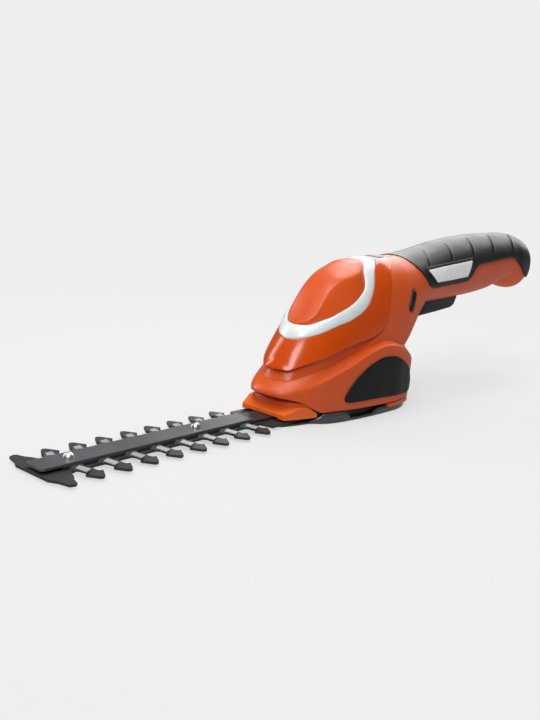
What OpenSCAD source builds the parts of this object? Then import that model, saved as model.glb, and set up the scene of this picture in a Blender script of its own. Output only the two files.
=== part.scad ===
// Cordless one-hand garden trimmer with a double-sided shrub blade.
// Millimetres, +X forward to the blade tip, +Y left, +Z up, origin on the sole under the body.

/* [Form] */
// Reference length that every outline share multiplies
form_len = 100; // [94:1:108]
// Wall of the moulded housing
wall = 2.4; // [1.6:0.1:2.8]
// Gap between each housing half and the middle plane
seam_gap = 0.06; // [0.03:0.01:0.15]
// Gap between pieces that lie side by side
edge_gap = 0.2; // [0.1:0.05:0.3]
// Amount by which cutters overrun what they cut
overrun = 1; // [0.5:0.1:2]

/* [Nose] */
// Wall of the gloss nose cover and of the crown insert
cover_wall = 2.2; // [1.5:0.1:3]
// Rise of the crown insert along its creases
crown_rise = 2.6; // [0.5:0.1:3.5]
// How far the bright band stands proud at its middle
band_proud = 1.1; // [0.4:0.1:2]
// Thickness of the lamp lens on the nose cover
lens_t = 0.6; // [0.4:0.1:1]

/* [Grip] */
// Height of the rubber grip's face above the handle
grip_t = 1.5; // [1.2:0.1:2.2]
// Gap between the handle and the rubber grip over it
grip_gap = 0.42; // [0.3:0.01:0.5]
// Thickness of the bare label plates
label_t = 0.5; // [0.3:0.1:1]
// Thickness of the bare badge panels
badge_t = 0.7; // [0.4:0.1:1.2]

/* [Blade] */
// Distance from tooth to tooth
tooth_pitch = 16.5; // [15:0.25:17]
// Teeth on each side of the comb
tooth_count = 8; // [5:1:8]
// Half width over the tooth tips
tip_half = 22.6; // [20:0.2:25]
// Half width of the comb strip between the teeth
comb_half = 8.6; // [7.6:0.2:10]
// Half width of the comb neck inside the tool
neck_half = 16; // [14.5:0.5:17]
// Height of the comb above the ground
comb_z = 1.4; // [1.3:0.05:1.6]
// Thickness of each cutting plate
plate_t = 1.4; // [1.2:0.05:1.6]
// Thickness of the guide bar
bar_t = 1.2; // [0.8:0.1:2]
// Half width of the guide bar
bar_half = 6.5; // [5:0.1:7.5]
// Gap between stacked blade plates
plate_gap = 0.06; // [0.03:0.01:0.12]
// Half width of the moving blade's strip
blade_half = 6.9; // [5.5:0.1:8]
// Half width over the moving teeth
blade_tip_half = 14.6; // [12:0.2:17]
// How far each moving tooth leads its comb tooth at rest
blade_lead = 3; // [1:0.25:5]
// Radius of a rivet shank
rivet_r = 1.8; // [1.4:0.1:2.2]
// Radius of a rivet dome
rivet_dome_r = 2.9; // [2.4:0.1:3.6]
// Height of a rivet dome
rivet_dome_h = 1.5; // [1:0.1:2]

/* [Shoe] */
// Thickness of the sole plate
sole_t = 1.2; // [0.8:0.05:1.25]
// Height of the low rear rim of the sole
sole_low = 3.5; // [3:0.1:3.6]
// Height of the raised rims of the sole
sole_high = 6.2; // [5.5:0.1:6.3]
// Width of the rims of the sole
sole_rim = 3.5; // [2.5:0.1:4]
// Radius of the pegs that hold the comb
peg_r = 2; // [1.5:0.1:2.5]
// Half width of the channel for the blade's tail
tail_half = 11; // [10.8:0.1:11.6]
// Height of the underside of the release latch
latch_low = 3.8; // [3.7:0.05:4.4]
// Height of the top of the release latch
latch_high = 6.2; // [5.4:0.05:6.3]
// Width of the latch's bow
latch_width = 6; // [4:0.25:6.5]

/* [Drive] */
// Place of the crank axle along the tool
crank_x = 5; // [3:0.25:6]
// Throw of the crank pin, half the stroke
crank_throw = 4; // [3.25:0.25:4]
// Radius of the crank pin
crank_pin_r = 2.5; // [2:0.1:2.8]
// Free play of the crank pin in its slot, each side
crank_play = 0.7; // [0.62:0.02:0.9]
// Height of the yoke block round the crank pin
yoke_h = 4.2; // [3:0.1:4.6]
// Half width of the yoke block
yoke_half = 10.6; // [10:0.1:10.7]
// Gear module
gear_module = 1; // [0.9:0.02:1.04]
// Thickness of the crank gear
gear_t = 6; // [5:0.25:6.5]
// Height of the crank gear's underside
gear_z = 9; // [8.5:0.25:9.5]
// Radius of the crank gear's hub
hub_r = 6; // [4.5:0.25:7]
// Height of the hub above the gear's face
hub_rise = 1; // [0.5:0.1:1.5]
// Room between the crank gear and the gear plate
plate_room = 2; // [1.75:0.05:2.5]
// Radius of the gear axle
axle_r = 2.5; // [2:0.1:3]
// Radial running fit of turning pieces
run_fit = 0.05; // [0.02:0.01:0.1]
// Extra distance between the gear centres
centre_slack = 0.12; // [0.08:0.01:0.2]
// Radius of the motor can
motor_r = 13.8; // [12:0.1:14.5]
// Length of the motor can
motor_len = 38; // [32:1:39]
// Radius of the motor shaft
shaft_r = 1.15; // [0.9:0.05:1.4]
// Thickness of the gear plate
gear_plate_t = 2; // [1.5:0.1:2.4]
// Thickness of the circuit board
board_t = 1.6; // [1:0.1:2]

/* [Power] */
// Radius of one battery cell
cell_r = 9.1; // [8.5:0.1:9.3]
// Length of one battery cell
cell_len = 65; // [60:0.5:65.5]
// Gap between the two battery cells
cell_gap = 1.2; // [0.6:0.1:1.6]
// Thickness of the cradle's ribs and rails
rib_t = 2; // [1.5:0.1:2.5]
// Height of the cradle's rails
rail_h = 6; // [4:0.5:8]
// Outer radius of the charging socket
socket_r = 4.6; // [4:0.1:4.8]
// Radius of the charging plug hole
socket_bore_r = 2.75; // [2:0.05:3.2]
// Depth of the charging plug hole
socket_depth = 9; // [7:0.5:9.5]
// Floor of the charging socket behind its hole
socket_floor = 2; // [1:0.1:3]

/* [Controls] */
// Half width of the trigger
trigger_half = 8.2; // [7:0.1:8.6]
// Clearance beside the trigger in its slot
trigger_gap = 0.6; // [0.4:0.1:0.8]
// Radius of the trigger pivot pin
pivot_r = 1.6; // [1.2:0.1:1.9]
// How far the pivot pin reaches into each housing boss
pivot_reach = 2.6; // [1.5:0.1:3]
// Half width of the lock-off button
lock_half = 2.5; // [2:0.1:3]
// Half of the straight length of the lock-off button
lock_straight = 4.6; // [3.5:0.1:5.2]
// How far the lock-off button stands proud
lock_proud = 0.9; // [0.5:0.1:2]
// Clearance round a sliding button
button_gap = 0.35; // [0.25:0.05:0.6]
// Length of the switch body
switch_len = 20; // [14:0.5:20.5]
// Half width of the switch body
switch_half = 6; // [4:0.25:8]
// Height of the switch body
switch_h = 13; // [10:0.5:14]
// Length of the switch lever
lever_len = 14; // [12:0.5:16]
// Half width of the switch lever
lever_half = 2; // [1.5:0.1:3]
// Thickness of the switch lever
lever_t = 0.8; // [0.5:0.05:0.8]
// Depth of the tip of the switch lever below the switch body
lever_drop = 1.5; // [0.8:0.1:1.5]
// Half width of the flat springs
leaf_half = 3; // [2:0.25:4]

/* [Screws] */
// Radius of a housing screw shank
screw_r = 1.4; // [1:0.1:1.8]
// Radius of a housing screw head
screw_head_r = 2.8; // [2.2:0.1:3.2]
// Height of a housing screw head
screw_head_h = 2.2; // [1.5:0.1:2.6]
// Radius of a screw boss
boss_r = 4; // [3.6:0.1:4.4]

/* [Hidden] */
$fn = 48;
tiny = 1e-4;

// Main form, front to rear: station, top, widest height, bottom, half width, all shares of form_len.
main_shares = [
  [0.506, 0.165, 0.15, 0.1, 0.03], [0.5, 0.235, 0.168, 0.1, 0.085], [0.493, 0.298, 0.183, 0.1, 0.103],
  [0.46, 0.364, 0.195, 0.1, 0.133], [0.42, 0.43, 0.205, 0.1, 0.162], [0.36, 0.511, 0.215, 0.1, 0.194],
  [0.28, 0.603, 0.22, 0.1, 0.222], [0.2, 0.7, 0.23, 0.1, 0.238], [0.15, 0.754, 0.236, 0.1, 0.245],
  [0.1, 0.792, 0.242, 0.1, 0.25], [0.04, 0.822, 0.25, 0.1, 0.255], [-0.08, 0.862, 0.27, 0.1, 0.262],
  [-0.22, 0.893, 0.3, 0.12, 0.267], [-0.36, 0.909, 0.34, 0.22, 0.269], [-0.5, 0.911, 0.45, 0.36, 0.262],
  [-0.65, 0.916, 0.6, 0.497, 0.234], [-0.8, 0.936, 0.7, 0.572, 0.208], [-0.95, 0.962, 0.745, 0.592, 0.197],
  [-1.12, 0.986, 0.78, 0.596, 0.189], [-1.46, 1.012, 0.81, 0.608, 0.183], [-1.75, 1.021, 0.83, 0.632, 0.181],
  [-1.94, 1.024, 0.84, 0.676, 0.181], [-2.08, 1.021, 0.83, 0.642, 0.183], [-2.2, 1, 0.82, 0.622, 0.178],
  [-2.288, 0.96, 0.81, 0.637, 0.158], [-2.358, 0.895, 0.8, 0.682, 0.115], [-2.396, 0.828, 0.79, 0.74, 0.055],
  [-2.402, 0.795, 0.79, 0.785, 0.008]
];
// Roundness of the upper and the lower half of each station, as powers
top_powers = [
  1.8, 1.8, 1.8, 1.8, 1.8, 1.85, 1.95, 2, 2.05, 2.1, 2.2, 2.3, 2.45, 2.6, 2.6, 2.5, 2.4, 2.3, 2.3, 2.2,
  2.2, 2.2, 2.2, 2.2, 2.2, 2.2, 2.2, 2.2
];
low_powers = [
  2.2, 2.2, 2.2, 2.2, 2.2, 2.2, 2.2, 2.2, 2.2, 2.2, 2.2, 2.2, 2.2, 2.2, 1.85, 1.75, 1.8, 2, 2.2, 2.2,
  2.2, 2.2, 2.2, 2.2, 2.2, 2.2, 2.2, 2.2
];

// Cover parting line, front centre to top centre: station and height (a height share of 9 is the ridge).
parting_shares = [
  [0.493, 9], [0.48, 0.302], [0.435, 0.318], [0.3, 0.371], [0.1, 0.434], [-0.106, 0.474],
  [-0.211, 0.52], [-0.268, 0.6], [-0.311, 0.745], [-0.363, 0.84], [-0.47, 9]
];
// Outer and inner edges of the bright band in the same order
band_out_shares = [
  [0.394, 9], [0.375, 0.474], [0.33, 0.49], [0.24, 0.525], [0.11, 0.571], [0, 0.612], [-0.074, 0.655],
  [-0.12, 0.702], [-0.16, 0.757], [-0.215, 0.837], [-0.35, 9]
];
band_in_shares = [
  [0.33, 9], [0.313, 0.55], [0.275, 0.565], [0.19, 0.604], [0.097, 0.647], [0.015, 0.686],
  [-0.05, 0.727], [-0.084, 0.756], [-0.108, 0.791], [-0.15, 0.842], [-0.265, 9]
];
crown_mid_share = 0.03;
crown_reach_share = 0.8;
// Rise of the crown across the tool, highest along its two creases: half width and share of crown_rise
crown_lift_shares = [[0, 0.5], [0.095, 1], [0.22, 0.1]];
// Inner edge of the shoulder (a height share of -9 is the underside centre line)
shoulder_shares = [
  [0.4995, 9], [0.4955, 0.2425], [0.482, 0.246], [0.44, 0.263], [0.3, 0.308], [0.1, 0.366], [-0.09, 0.424],
  [-0.22, 0.452], [-0.34, 0.432], [-0.48, 0.384], [-0.605, -9]
];
// Lower housing wall: station, half width, shoulder height, lower edge height
wall_shares = [
  [0.562, 0, 0.19, 0.16], [0.548, 0.08, 0.19, 0.158], [0.502, 0.142, 0.192, 0.15],
  [0.42, 0.192, 0.208, 0.124], [0.3, 0.238, 0.25, 0.065], [0.12, 0.281, 0.326, 0.065],
  [-0.04, 0.308, 0.398, 0.065], [-0.2, 0.326, 0.43, 0.065], [-0.37, 0.328, 0.372, 0.065],
  [-0.555, 0.266, 0.282, 0.065], [-0.69, 0, 0.24, 0.065]
];
// Lower edge of the rubber grip, front to rear: station and height
grip_shares = [
  [-0.62, 0.905], [-0.634, 0.888], [-0.655, 0.86], [-0.692, 0.82], [-0.758, 0.75], [-0.81, 0.718],
  [-0.86, 0.712], [-1.3, 0.735], [-1.35, 0.765], [-1.4, 0.828], [-1.45, 0.846], [-1.93, 0.884],
  [-2, 0.872], [-2.08, 0.82], [-2.157, 0.769], [-2.214, 0.735], [-2.285, 0.72], [-2.355, 0.735],
  [-2.388, 0.77]
];
// Outline of the bare badge: station, lower height, upper height
badge_shares = [
  [0.144, 0.128, 0.142], [0.131, 0.117, 0.169], [0.105, 0.11, 0.209], [0.034, 0.11, 0.28],
  [-0.076, 0.112, 0.34], [-0.176, 0.112, 0.366], [-0.258, 0.11, 0.362], [-0.35, 0.107, 0.33],
  [-0.441, 0.104, 0.273], [-0.491, 0.11, 0.206], [-0.515, 0.13, 0.16]
];
// Outline of the sole: station and half width
shoe_shares = [
  [0.57, 0.158], [0.56, 0.166], [0.36, 0.196], [0.315, 0.215], [0.27, 0.26], [0.115, 0.293],
  [-0.165, 0.312], [-0.4, 0.309], [-0.535, 0.258], [-0.62, 0.165], [-0.658, 0.06], [-0.663, 0]
];

// Curve tools
function desc_slopes(xs, vs) =
  let (n = len(xs), d = [for (i = [0:n - 2]) (vs[i + 1] - vs[i]) / (xs[i + 1] - xs[i])])
  [for (i = [0:n - 1]) i == 0 ? d[0] : i == n - 1 ? d[n - 2] :
    d[i - 1] * d[i] <= 0 ? 0 :
    let (h0 = xs[i] - xs[i - 1], h1 = xs[i + 1] - xs[i], a = 2 * h1 + h0, b = h1 + 2 * h0)
      (a + b) / (a / d[i - 1] + b / d[i])];
function seat_of(xs, x) = min(max(len([for (v = xs) if (v > x) 1]) - 1, 0), len(xs) - 2);
function hermite(xs, vs, ms, i, x) = let (h = xs[i + 1] - xs[i], t = (x - xs[i]) / h, u = 1 - t)
  vs[i] * (1 + 2 * t) * u * u + ms[i] * h * t * u * u
  + vs[i + 1] * t * t * (3 - 2 * t) - ms[i + 1] * h * t * t * u;
main_x = [for (r = main_shares) r[0] * form_len];
main_v = concat([for (k = [1:4]) [for (r = main_shares) r[k] * form_len]], [top_powers, low_powers]);
main_m = [for (v = main_v) desc_slopes(main_x, v)];
// Top, widest height, bottom, half width and the two powers of the main form at a station
function main_at(x) = let (i = seat_of(main_x, x))
  [for (k = [0:5]) hermite(main_x, main_v[k], main_m[k], i, x)];
// Surface point at a station and an angle: 90 is the ridge, 0 the left flank, -90 the underside
function main_pt(x, a) = let (p = main_at(x), s = sin(a), c = cos(a), n = s >= 0 ? p[4] : p[5],
  h = s >= 0 ? p[0] - p[1] : p[1] - p[2])
  [x, sign(c) * p[3] * pow(abs(c), 2 / n), p[1] + sign(s) * h * pow(abs(s), 2 / n)];
function form_normal(x, a) = let (e = form_len / 500,
  along = main_pt(x + e, a) - main_pt(x - e, a), round = main_pt(x, a + 1) - main_pt(x, a - 1))
  unit(cross(round, along));
function angle_at(x, z) = z > 8 * form_len ? 90 : z < -8 * form_len ? -90 :
  let (p = main_at(x), d = z - p[1], n = d >= 0 ? p[4] : p[5], h = d >= 0 ? p[0] - p[1] : p[1] - p[2],
    f = min(0.9995, abs(d) / h)) sign(d) * asin(pow(f, n / 2));
function skin_y(x, z) = main_pt(x, angle_at(x, z))[1];
function slot_angle(x, y) = let (p = main_at(x)) -acos(pow(min(0.999, y / p[3]), p[5] / 2));
function ridge_angle(x, y) = let (p = main_at(x), a = acos(pow(abs(y) / p[3], p[4] / 2)))
  y < 0 ? 180 - a : a;
function angled(shares) = [for (r = shares) [r[0] * form_len, angle_at(r[0] * form_len, r[1] * form_len)]];
// Smooth half curve that meets its mirror image squarely; the second column is the mirrored one
function ghost(p, e) = [for (k = [0:len(p) - 1]) k == 1 ? 2 * e[1] - p[1] : p[k]];
function smooth(P, t) = let (n = len(P) - 1, i = min(floor(t * n), n - 1), u = t * n - i,
  b = P[i], c = P[i + 1], a = i == 0 ? ghost(P[1], P[0]) : P[i - 1],
  d = i == n - 1 ? ghost(P[n - 1], P[n]) : P[i + 2])
  b + u * (c - a) / 2 + u * u * (a - 2.5 * b + 2 * c - d / 2) + u * u * u * ((d - a) / 2 + 1.5 * (b - c));
function mix(a, b, t) = a + (b - a) * t;
function unit(v) = v / max(norm(v), tiny * tiny);
// Steps along an edge curve, closer together where it crosses the middle plane
edge_n = 26;
edge_steps = [for (j = [0:edge_n]) let (t = j / edge_n) mix(t, (1 - cos(180 * t)) / 2, 0.45)];

parting = angled(parting_shares);
band_out = angled(band_out_shares);
band_in = angled(band_in_shares);
shoulder = angled(shoulder_shares);
wall_pts = wall_shares * form_len;

// Skins: two layers over one grid of points become a closed shell
module skin(top, low, wrap = false) {
  R = len(top);
  C = len(top[0]);
  N = R * C;
  last = wrap ? C - 1 : C - 2;
  faces = concat(
    [for (i = [0:R - 2], j = [0:last])
      let (a = i * C + j, b = a + C, k = (j + 1) % C, c = (i + 1) * C + k, d = i * C + k)
        each [[a, b, c], [a, c, d], [N + a, N + c, N + b], [N + a, N + d, N + c]]],
    [for (j = [0:last]) let (a = j, d = (j + 1) % C) each [[a, d, N + d], [a, N + d, N + a]]],
    [for (j = [0:last]) let (b = (R - 1) * C + j, c = (R - 1) * C + (j + 1) % C)
      each [[c, b, N + b], [c, N + b, N + c]]],
    wrap ? [] : [for (i = [0:R - 2]) let (a = i * C, b = a + C) each [[b, a, N + a], [b, N + a, N + b]]],
    wrap ? [] : [for (i = [0:R - 2]) let (d = i * C + C - 1, c = d + C)
      each [[d, c, N + c], [d, N + c, N + d]]]
  );
  polyhedron(points = concat([for (r = top) each r], [for (r = low) each r]), faces = faces);
}
// A skin on a looped grid whose last row closes on one point
module cap_skin(top, low, top_mid, low_mid) {
  R = len(top);
  C = len(top[0]);
  N = R * C;
  faces = concat(
    [for (i = [0:R - 2], j = [0:C - 1])
      let (a = i * C + j, b = a + C, k = (j + 1) % C, c = (i + 1) * C + k, d = i * C + k)
        each [[a, b, c], [a, c, d], [N + a, N + c, N + b], [N + a, N + d, N + c]]],
    [for (j = [0:C - 1]) let (a = j, d = (j + 1) % C) each [[a, d, N + d], [a, N + d, N + a]]],
    [for (j = [0:C - 1]) let (a = (R - 1) * C + j, d = (R - 1) * C + (j + 1) % C)
      each [[a, 2 * N, d], [N + a, N + d, 2 * N + 1]]]
  );
  polyhedron(
    points = concat([for (r = top) each r], [for (r = low) each r], [top_mid, low_mid]), faces = faces
  );
}
// Grids on the main form hold [station, angle] pairs and are lifted along its normal
function level(G, d) = [for (r = G) [for (p = r) d]];
function lifted(U, D) = [for (i = [0:len(U) - 1]) [for (j = [0:len(U[0]) - 1]) let (q = U[i][j])
  main_pt(q[0], q[1]) + D[i][j] * form_normal(q[0], q[1])]];
function looped(h) = concat(h, [for (j = [len(h) - 2:-1:1]) [h[j][0], 180 - h[j][1]]]);
module form_skin(U, over, under, wrap = false) {
  skin(lifted(U, over), lifted(U, under), wrap);
}
// Free grids take their normals from their neighbours
function grid_normal(G, i, j, wrap) = let (R = len(G), C = len(G[0]), p = G[i][j],
  a = G[min(i + 1, R - 1)][j] - G[max(i - 1, 0)][j],
  b = wrap ? G[i][(j + 1) % C] - G[i][(j + C - 1) % C] : G[i][min(j + 1, C - 1)] - G[i][max(j - 1, 0)],
  n = cross(b, a))
  abs(p[1]) < tiny ? unit([n[0], 0, n[2]]) : unit(n);
function shifted(G, D, wrap) = [for (i = [0:len(G) - 1]) [for (j = [0:len(G[0]) - 1])
  G[i][j] + D[i][j] * grid_normal(G, i, j, wrap)]];
// A side outline in shares, extruded across the tool
module side_plate(P, half) {
  translate([0, half, 0])
    rotate([90, 0, 0])
      linear_extrude(2 * half)
        polygon(P * form_len);
}
// A half plan outline, mirrored and extruded upwards
module plan_plate(P, z0, z1) {
  full = concat(P, [for (i = [len(P) - 1:-1:0]) if (abs(P[i][1]) > tiny) [P[i][0], -P[i][1]]]);
  translate([0, 0, z0])
    linear_extrude(z1 - z0)
      polygon(full);
}
// A round bar across the tool at a side place
module side_rod(at, r, from, to) {
  translate([at[0], from, at[1]])
    rotate([-90, 0, 0])
      cylinder(r = r, h = to - from);
}
// Everything between two stations
module span(from, to) {
  translate([to * form_len, -form_len / 2, 0])
    cube([(from - to) * form_len, form_len, form_len]);
}

// Nose pieces: rings between two edge curves
ring_rows_n = 4;
function apart(a, b) = norm(main_pt(a[0], a[1]) - main_pt(b[0], b[1]));
// A gap, as a share of the surface distance between two places
function gap_part(a, b, gap) = gap / apart(a, b);
function ring_grid(A, B, gap, reach) = [for (i = [0:ring_rows_n]) looped([for (t = edge_steps)
  let (a = smooth(A, t), b = smooth(B, t), g = gap_part(a, b, gap))
    mix(a, b, mix(g, reach - (reach == 1 ? g : 0), i / ring_rows_n))])];
module nose_cover() {
  U = ring_grid(parting, band_out, edge_gap, 1);
  color("OrangeRed")
    form_skin(U, level(U, 0), level(U, -cover_wall), true);
}
module trim_band() {
  U = ring_grid(band_out, band_in, edge_gap / 2, 1);
  proud_shares = [0.1, 0.85, 1, 0.85, 0.1];
  D = [for (i = [0:ring_rows_n]) [for (q = U[i]) proud_shares[i] * band_proud]];
  color("Silver")
    form_skin(U, D, level(U, -cover_wall), true);
}
function crown_lift(y) = crown_rise * lookup(abs(y) / form_len, crown_lift_shares);
module crown_insert() {
  mid = [crown_mid_share * form_len, 90];
  U = ring_grid(band_in, [for (p = band_in) mid], edge_gap, crown_reach_share);
  row_shares = [0.2, 0.75, 1, 1, 1];
  D = [for (i = [0:ring_rows_n]) [for (q = U[i]) row_shares[i] * crown_lift(main_pt(q[0], q[1])[1])]];
  top_mid = main_pt(mid[0], mid[1]);
  up = form_normal(mid[0], mid[1]);
  color("Chocolate")
    cap_skin(lifted(U, D), lifted(U, level(U, -cover_wall)), top_mid + crown_lift(0) * up,
      top_mid - cover_wall * up);
}
lens_x_shares = [-0.378, -0.41, -0.442];
lens_y_shares = [-0.05, -0.025, 0, 0.025, 0.05];
module led_lens() {
  U = [for (x = lens_x_shares * form_len) [for (y = lens_y_shares * form_len) [x, ridge_angle(x, y)]]];
  color("LightSteelBlue")
    form_skin(U, level(U, edge_gap / 2 + lens_t), level(U, edge_gap / 2));
}

// Housing halves
cross_n = 13;
// Rear rows: station of the upper end, station of the lower end, and whether the trigger slot is open there
rear_shares = [
  [-0.5, -0.645, 0], [-0.56, -0.69, 0], [-0.63, -0.74, 0], [-0.7, -0.79, 0], [-0.76, -0.815, 1],
  [-0.84, -0.87, 1], [-0.93, -0.94, 1], [-1.03, -1.03, 1], [-1.15, -1.15, 1], [-1.28, -1.28, 1],
  [-1.4, -1.4, 1], [-1.46, -1.46, 1], [-1.475, -1.475, 0], [-1.6, -1.6, 0], [-1.75, -1.75, 0],
  [-1.86, -1.86, 0], [-1.94, -1.94, 0], [-2.01, -2.01, 0], [-2.08, -2.08, 0], [-2.14, -2.14, 0],
  [-2.2, -2.2, 0], [-2.25, -2.25, 0], [-2.29, -2.29, 0], [-2.325, -2.325, 0], [-2.355, -2.355, 0],
  [-2.378, -2.378, 0], [-2.393, -2.393, 0]
];
screw_at_shares = [[-0.6, 0.8], [-0.62, 0.57], [-1.62, 0.675], [-2.12, 0.677]];
pivot_shares = [-0.89, 0.65];
lock_shares = [-0.53, 0.67];
socket_shares = [-2.394, 0.79];
screw_at = screw_at_shares * form_len;
pivot_at = pivot_shares * form_len;
lock_at = lock_shares * form_len;
socket_at = socket_shares * form_len;
lock_tilt = 26;
slot_half = trigger_half + trigger_gap;
pivot_boss_r = pivot_r + wall;
slot_x_shares = [-0.82, -1.455];
slot_z_shares = [0.4, 0.68];
function half_row(A, B) = [for (m = [0:cross_n]) mix(A, B, m / cross_n)];
function half_grid() = concat(
  [for (t = edge_steps) let (A = smooth(parting, t), B = smooth(shoulder, t))
    half_row(A, mix(A, B, t == 1 ? 1 : 1 - gap_part(A, B, edge_gap)))],
  [for (r = rear_shares) let (x = r[1] * form_len)
    half_row([r[0] * form_len, 90], [x, r[2] == 1 ? slot_angle(x, slot_half) : -90])]
);
function boss_end(at, r) = min(skin_y(at[0], at[1] + r), skin_y(at[0], at[1] - r)) - wall / 2;
function head_seat(at) = boss_end(at, boss_r) / 2;
function bore_end(at) = 0.85 * boss_end(at, boss_r);
module capsule(half, straight, length) {
  rotate([90, 0, 0])
    rotate([0, 0, lock_tilt])
      linear_extrude(length, center = true)
        union() {
          square([2 * half, 2 * straight], center = true);
          translate([0, straight])
            circle(half);
          translate([0, -straight])
            circle(half);
        }
}
module along_bar(at, r, length) {
  translate([at[0], 0, at[1]])
    rotate([0, 90, 0])
      cylinder(r = r, h = length);
}
module housing_half(right) {
  U = half_grid();
  difference() {
    union() {
      translate([0, seam_gap, 0])
        form_skin(U, level(U, 0), level(U, -wall));
      for (s = screw_at)
        side_rod(s, boss_r, seam_gap, boss_end(s, boss_r));
      side_rod(pivot_at, pivot_boss_r, slot_half, boss_end(pivot_at, pivot_boss_r));
    }
    for (s = screw_at) {
      side_rod(s, right ? screw_r + edge_gap : screw_r, -overrun, bore_end(s));
      if (right)
        side_rod(s, screw_head_r + edge_gap, head_seat(s), form_len / 2);
    }
    side_rod(pivot_at, pivot_r + run_fit, 0, slot_half + pivot_reach + edge_gap);
    translate([lock_at[0], 0, lock_at[1]])
      capsule(lock_half + button_gap, lock_straight, form_len);
    translate([slot_x_shares[1] * form_len, -slot_half, slot_z_shares[0] * form_len])
      cube([(slot_x_shares[0] - slot_x_shares[1]) * form_len, 2 * slot_half,
        (slot_z_shares[1] - slot_z_shares[0]) * form_len]);
    along_bar(socket_at - [overrun + wall, 0], socket_r + edge_gap, socket_depth + socket_floor + wall);
  }
}
module housing_left() {
  color("Coral")
    housing_half(false);
}
module housing_right() {
  color("Coral")
    mirror([0, 1, 0])
      housing_half(true);
}

// Lower housing: a sloping ledge with a firm edge, an upright wall and a rolled lower edge
ledge_shares = [0.03, 0.36, 0.7, 0.93];
ledge_crown_shares = [0, 0.05, 0.05, 0.02];
edge_roll_share = 0.012;
// The lower edge never dips below its straight run
function low_edge(W) = max(W[3], wall_pts[len(wall_pts) - 1][3]);
function lower_col(t) = let (q = smooth(shoulder, t), Q = main_pt(q[0], q[1]), W = smooth(wall_pts, t),
  low = low_edge(W), roll = edge_roll_share * form_len, d = unit([Q[0] - W[0], Q[1] - W[1]]) * roll)
  concat(
    [for (k = [0:len(ledge_shares) - 1]) let (f = ledge_shares[k])
      mix(Q, W, f) + [0, 0, ledge_crown_shares[k] * (Q[2] - W[2] + roll)]],
    [[W[0], W[1], W[2] - roll], [W[0], W[1], mix(W[2], low, 0.5)], [W[0], W[1], low + roll],
      [W[0] + d[0] * 0.3, W[1] + d[1] * 0.3, low + roll * 0.3], [W[0] + d[0], W[1] + d[1], low]]
  );
function lower_wall(t) = let (W = smooth(wall_pts, t)) min(wall, 0.45 * (W[2] - low_edge(W)));
function flip_y(p) = [p[0], -p[1], p[2]];
function round_trip(h) = concat(h, [for (j = [len(h) - 2:-1:1]) h[j]]);
module lower_housing() {
  cols = [for (t = edge_steps) lower_col(t)];
  rows = len(cols[0]);
  G = [for (i = [rows - 1:-1:0])
    concat([for (c = cols) c[i]], [for (j = [edge_n - 1:-1:1]) flip_y(cols[j][i])])];
  T = round_trip([for (t = edge_steps) -lower_wall(t)]);
  color("Tomato")
    skin(G, shifted(G, [for (r = G) T], true), true);
}

// Front apron: a sloping lip over the blade and the throat that carries it
lip_shares = [
  [0.545, 0.039], [0.545, 0.07], [0.45, 0.106], [0.405, 0.106], [0.375, 0.095], [0.345, 0.079],
  [0.325, 0.068], [0.32, 0.06], [0.32, 0.039]
];
lip_plan_shares = [[0.55, 0.156], [0.46, 0.186], [0.32, 0.222]];
throat_shares = [[0.47, 0], [0.462, 0.06], [0.44, 0.105], [0.4, 0.138], [0.35, 0.156], [0.312, 0.162]];
throat_z_shares = [0.075, 0.19];
blade_z = comb_z + plate_t + plate_gap;
bar_z = blade_z + plate_t + plate_gap;
module front_apron() {
  color("DarkOrange")
    difference() {
      union() {
        intersection() {
          side_plate(lip_shares, form_len / 2);
          plan_plate(lip_plan_shares * form_len, 0, form_len);
        }
        plan_plate(throat_shares * form_len, throat_z_shares[0] * form_len, throat_z_shares[1] * form_len);
      }
      translate([0, -tail_half - edge_gap, 0])
        cube([form_len, 2 * (tail_half + edge_gap), bar_z + edge_gap]);
    }
}

// Rubber grip and its label plate
grip_n = 30;
grip_cross = 14;
grip_bevel_share = 0.35;
grip_pts = angled(grip_shares);
function along(P, t) = let (n = len(P) - 1, i = min(floor(t * n), n - 1)) mix(P[i], P[i + 1], t * n - i);
module grip_overmould() {
  U = [for (k = [0:grip_n]) let (e = along(grip_pts, k / grip_n))
    [for (m = [0:grip_cross]) [e[0], mix(180 - e[1], e[1], m / grip_cross)]]];
  D = [for (k = [0:grip_n]) [for (m = [0:grip_cross])
    m == 0 || m == grip_cross || k == 0 || k == grip_n ? mix(grip_gap, grip_t, grip_bevel_share) : grip_t]];
  color("DimGray")
    form_skin(U, D, level(U, grip_gap));
}
// Label outline: station, upper height, lower height
label_shares = [
  [-0.8, 0.842, 0.835], [-0.86, 0.846, 0.762], [-1.05, 0.861, 0.768], [-1.28, 0.878, 0.781],
  [-1.335, 0.882, 0.874]
];
label_rows = 4;
module label_plate_left() {
  U = [for (r = label_shares) let (x = r[0] * form_len) [for (m = [0:label_rows])
    [x, angle_at(x, mix(r[1], r[2], m / label_rows) * form_len)]]];
  seat = grip_t + grip_gap;
  color("White")
    form_skin(U, level(U, seat + label_t), level(U, seat));
}

// Bare badge panel on the left of the lower housing
wall_samples = 60;
wall_line = [for (j = [0:wall_samples]) let (w = smooth(wall_pts, j / wall_samples)) [-w[0], w[1]]];
badge_rows = 3;
module badge_left() {
  G = [for (r = badge_shares) let (x = r[0] * form_len) [for (m = [0:badge_rows])
    [x, lookup(-x, wall_line), mix(r[2], r[1], m / badge_rows) * form_len]]];
  color("Black")
    skin(shifted(G, level(G, badge_t + edge_gap), false), shifted(G, level(G, edge_gap), false));
}

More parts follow.
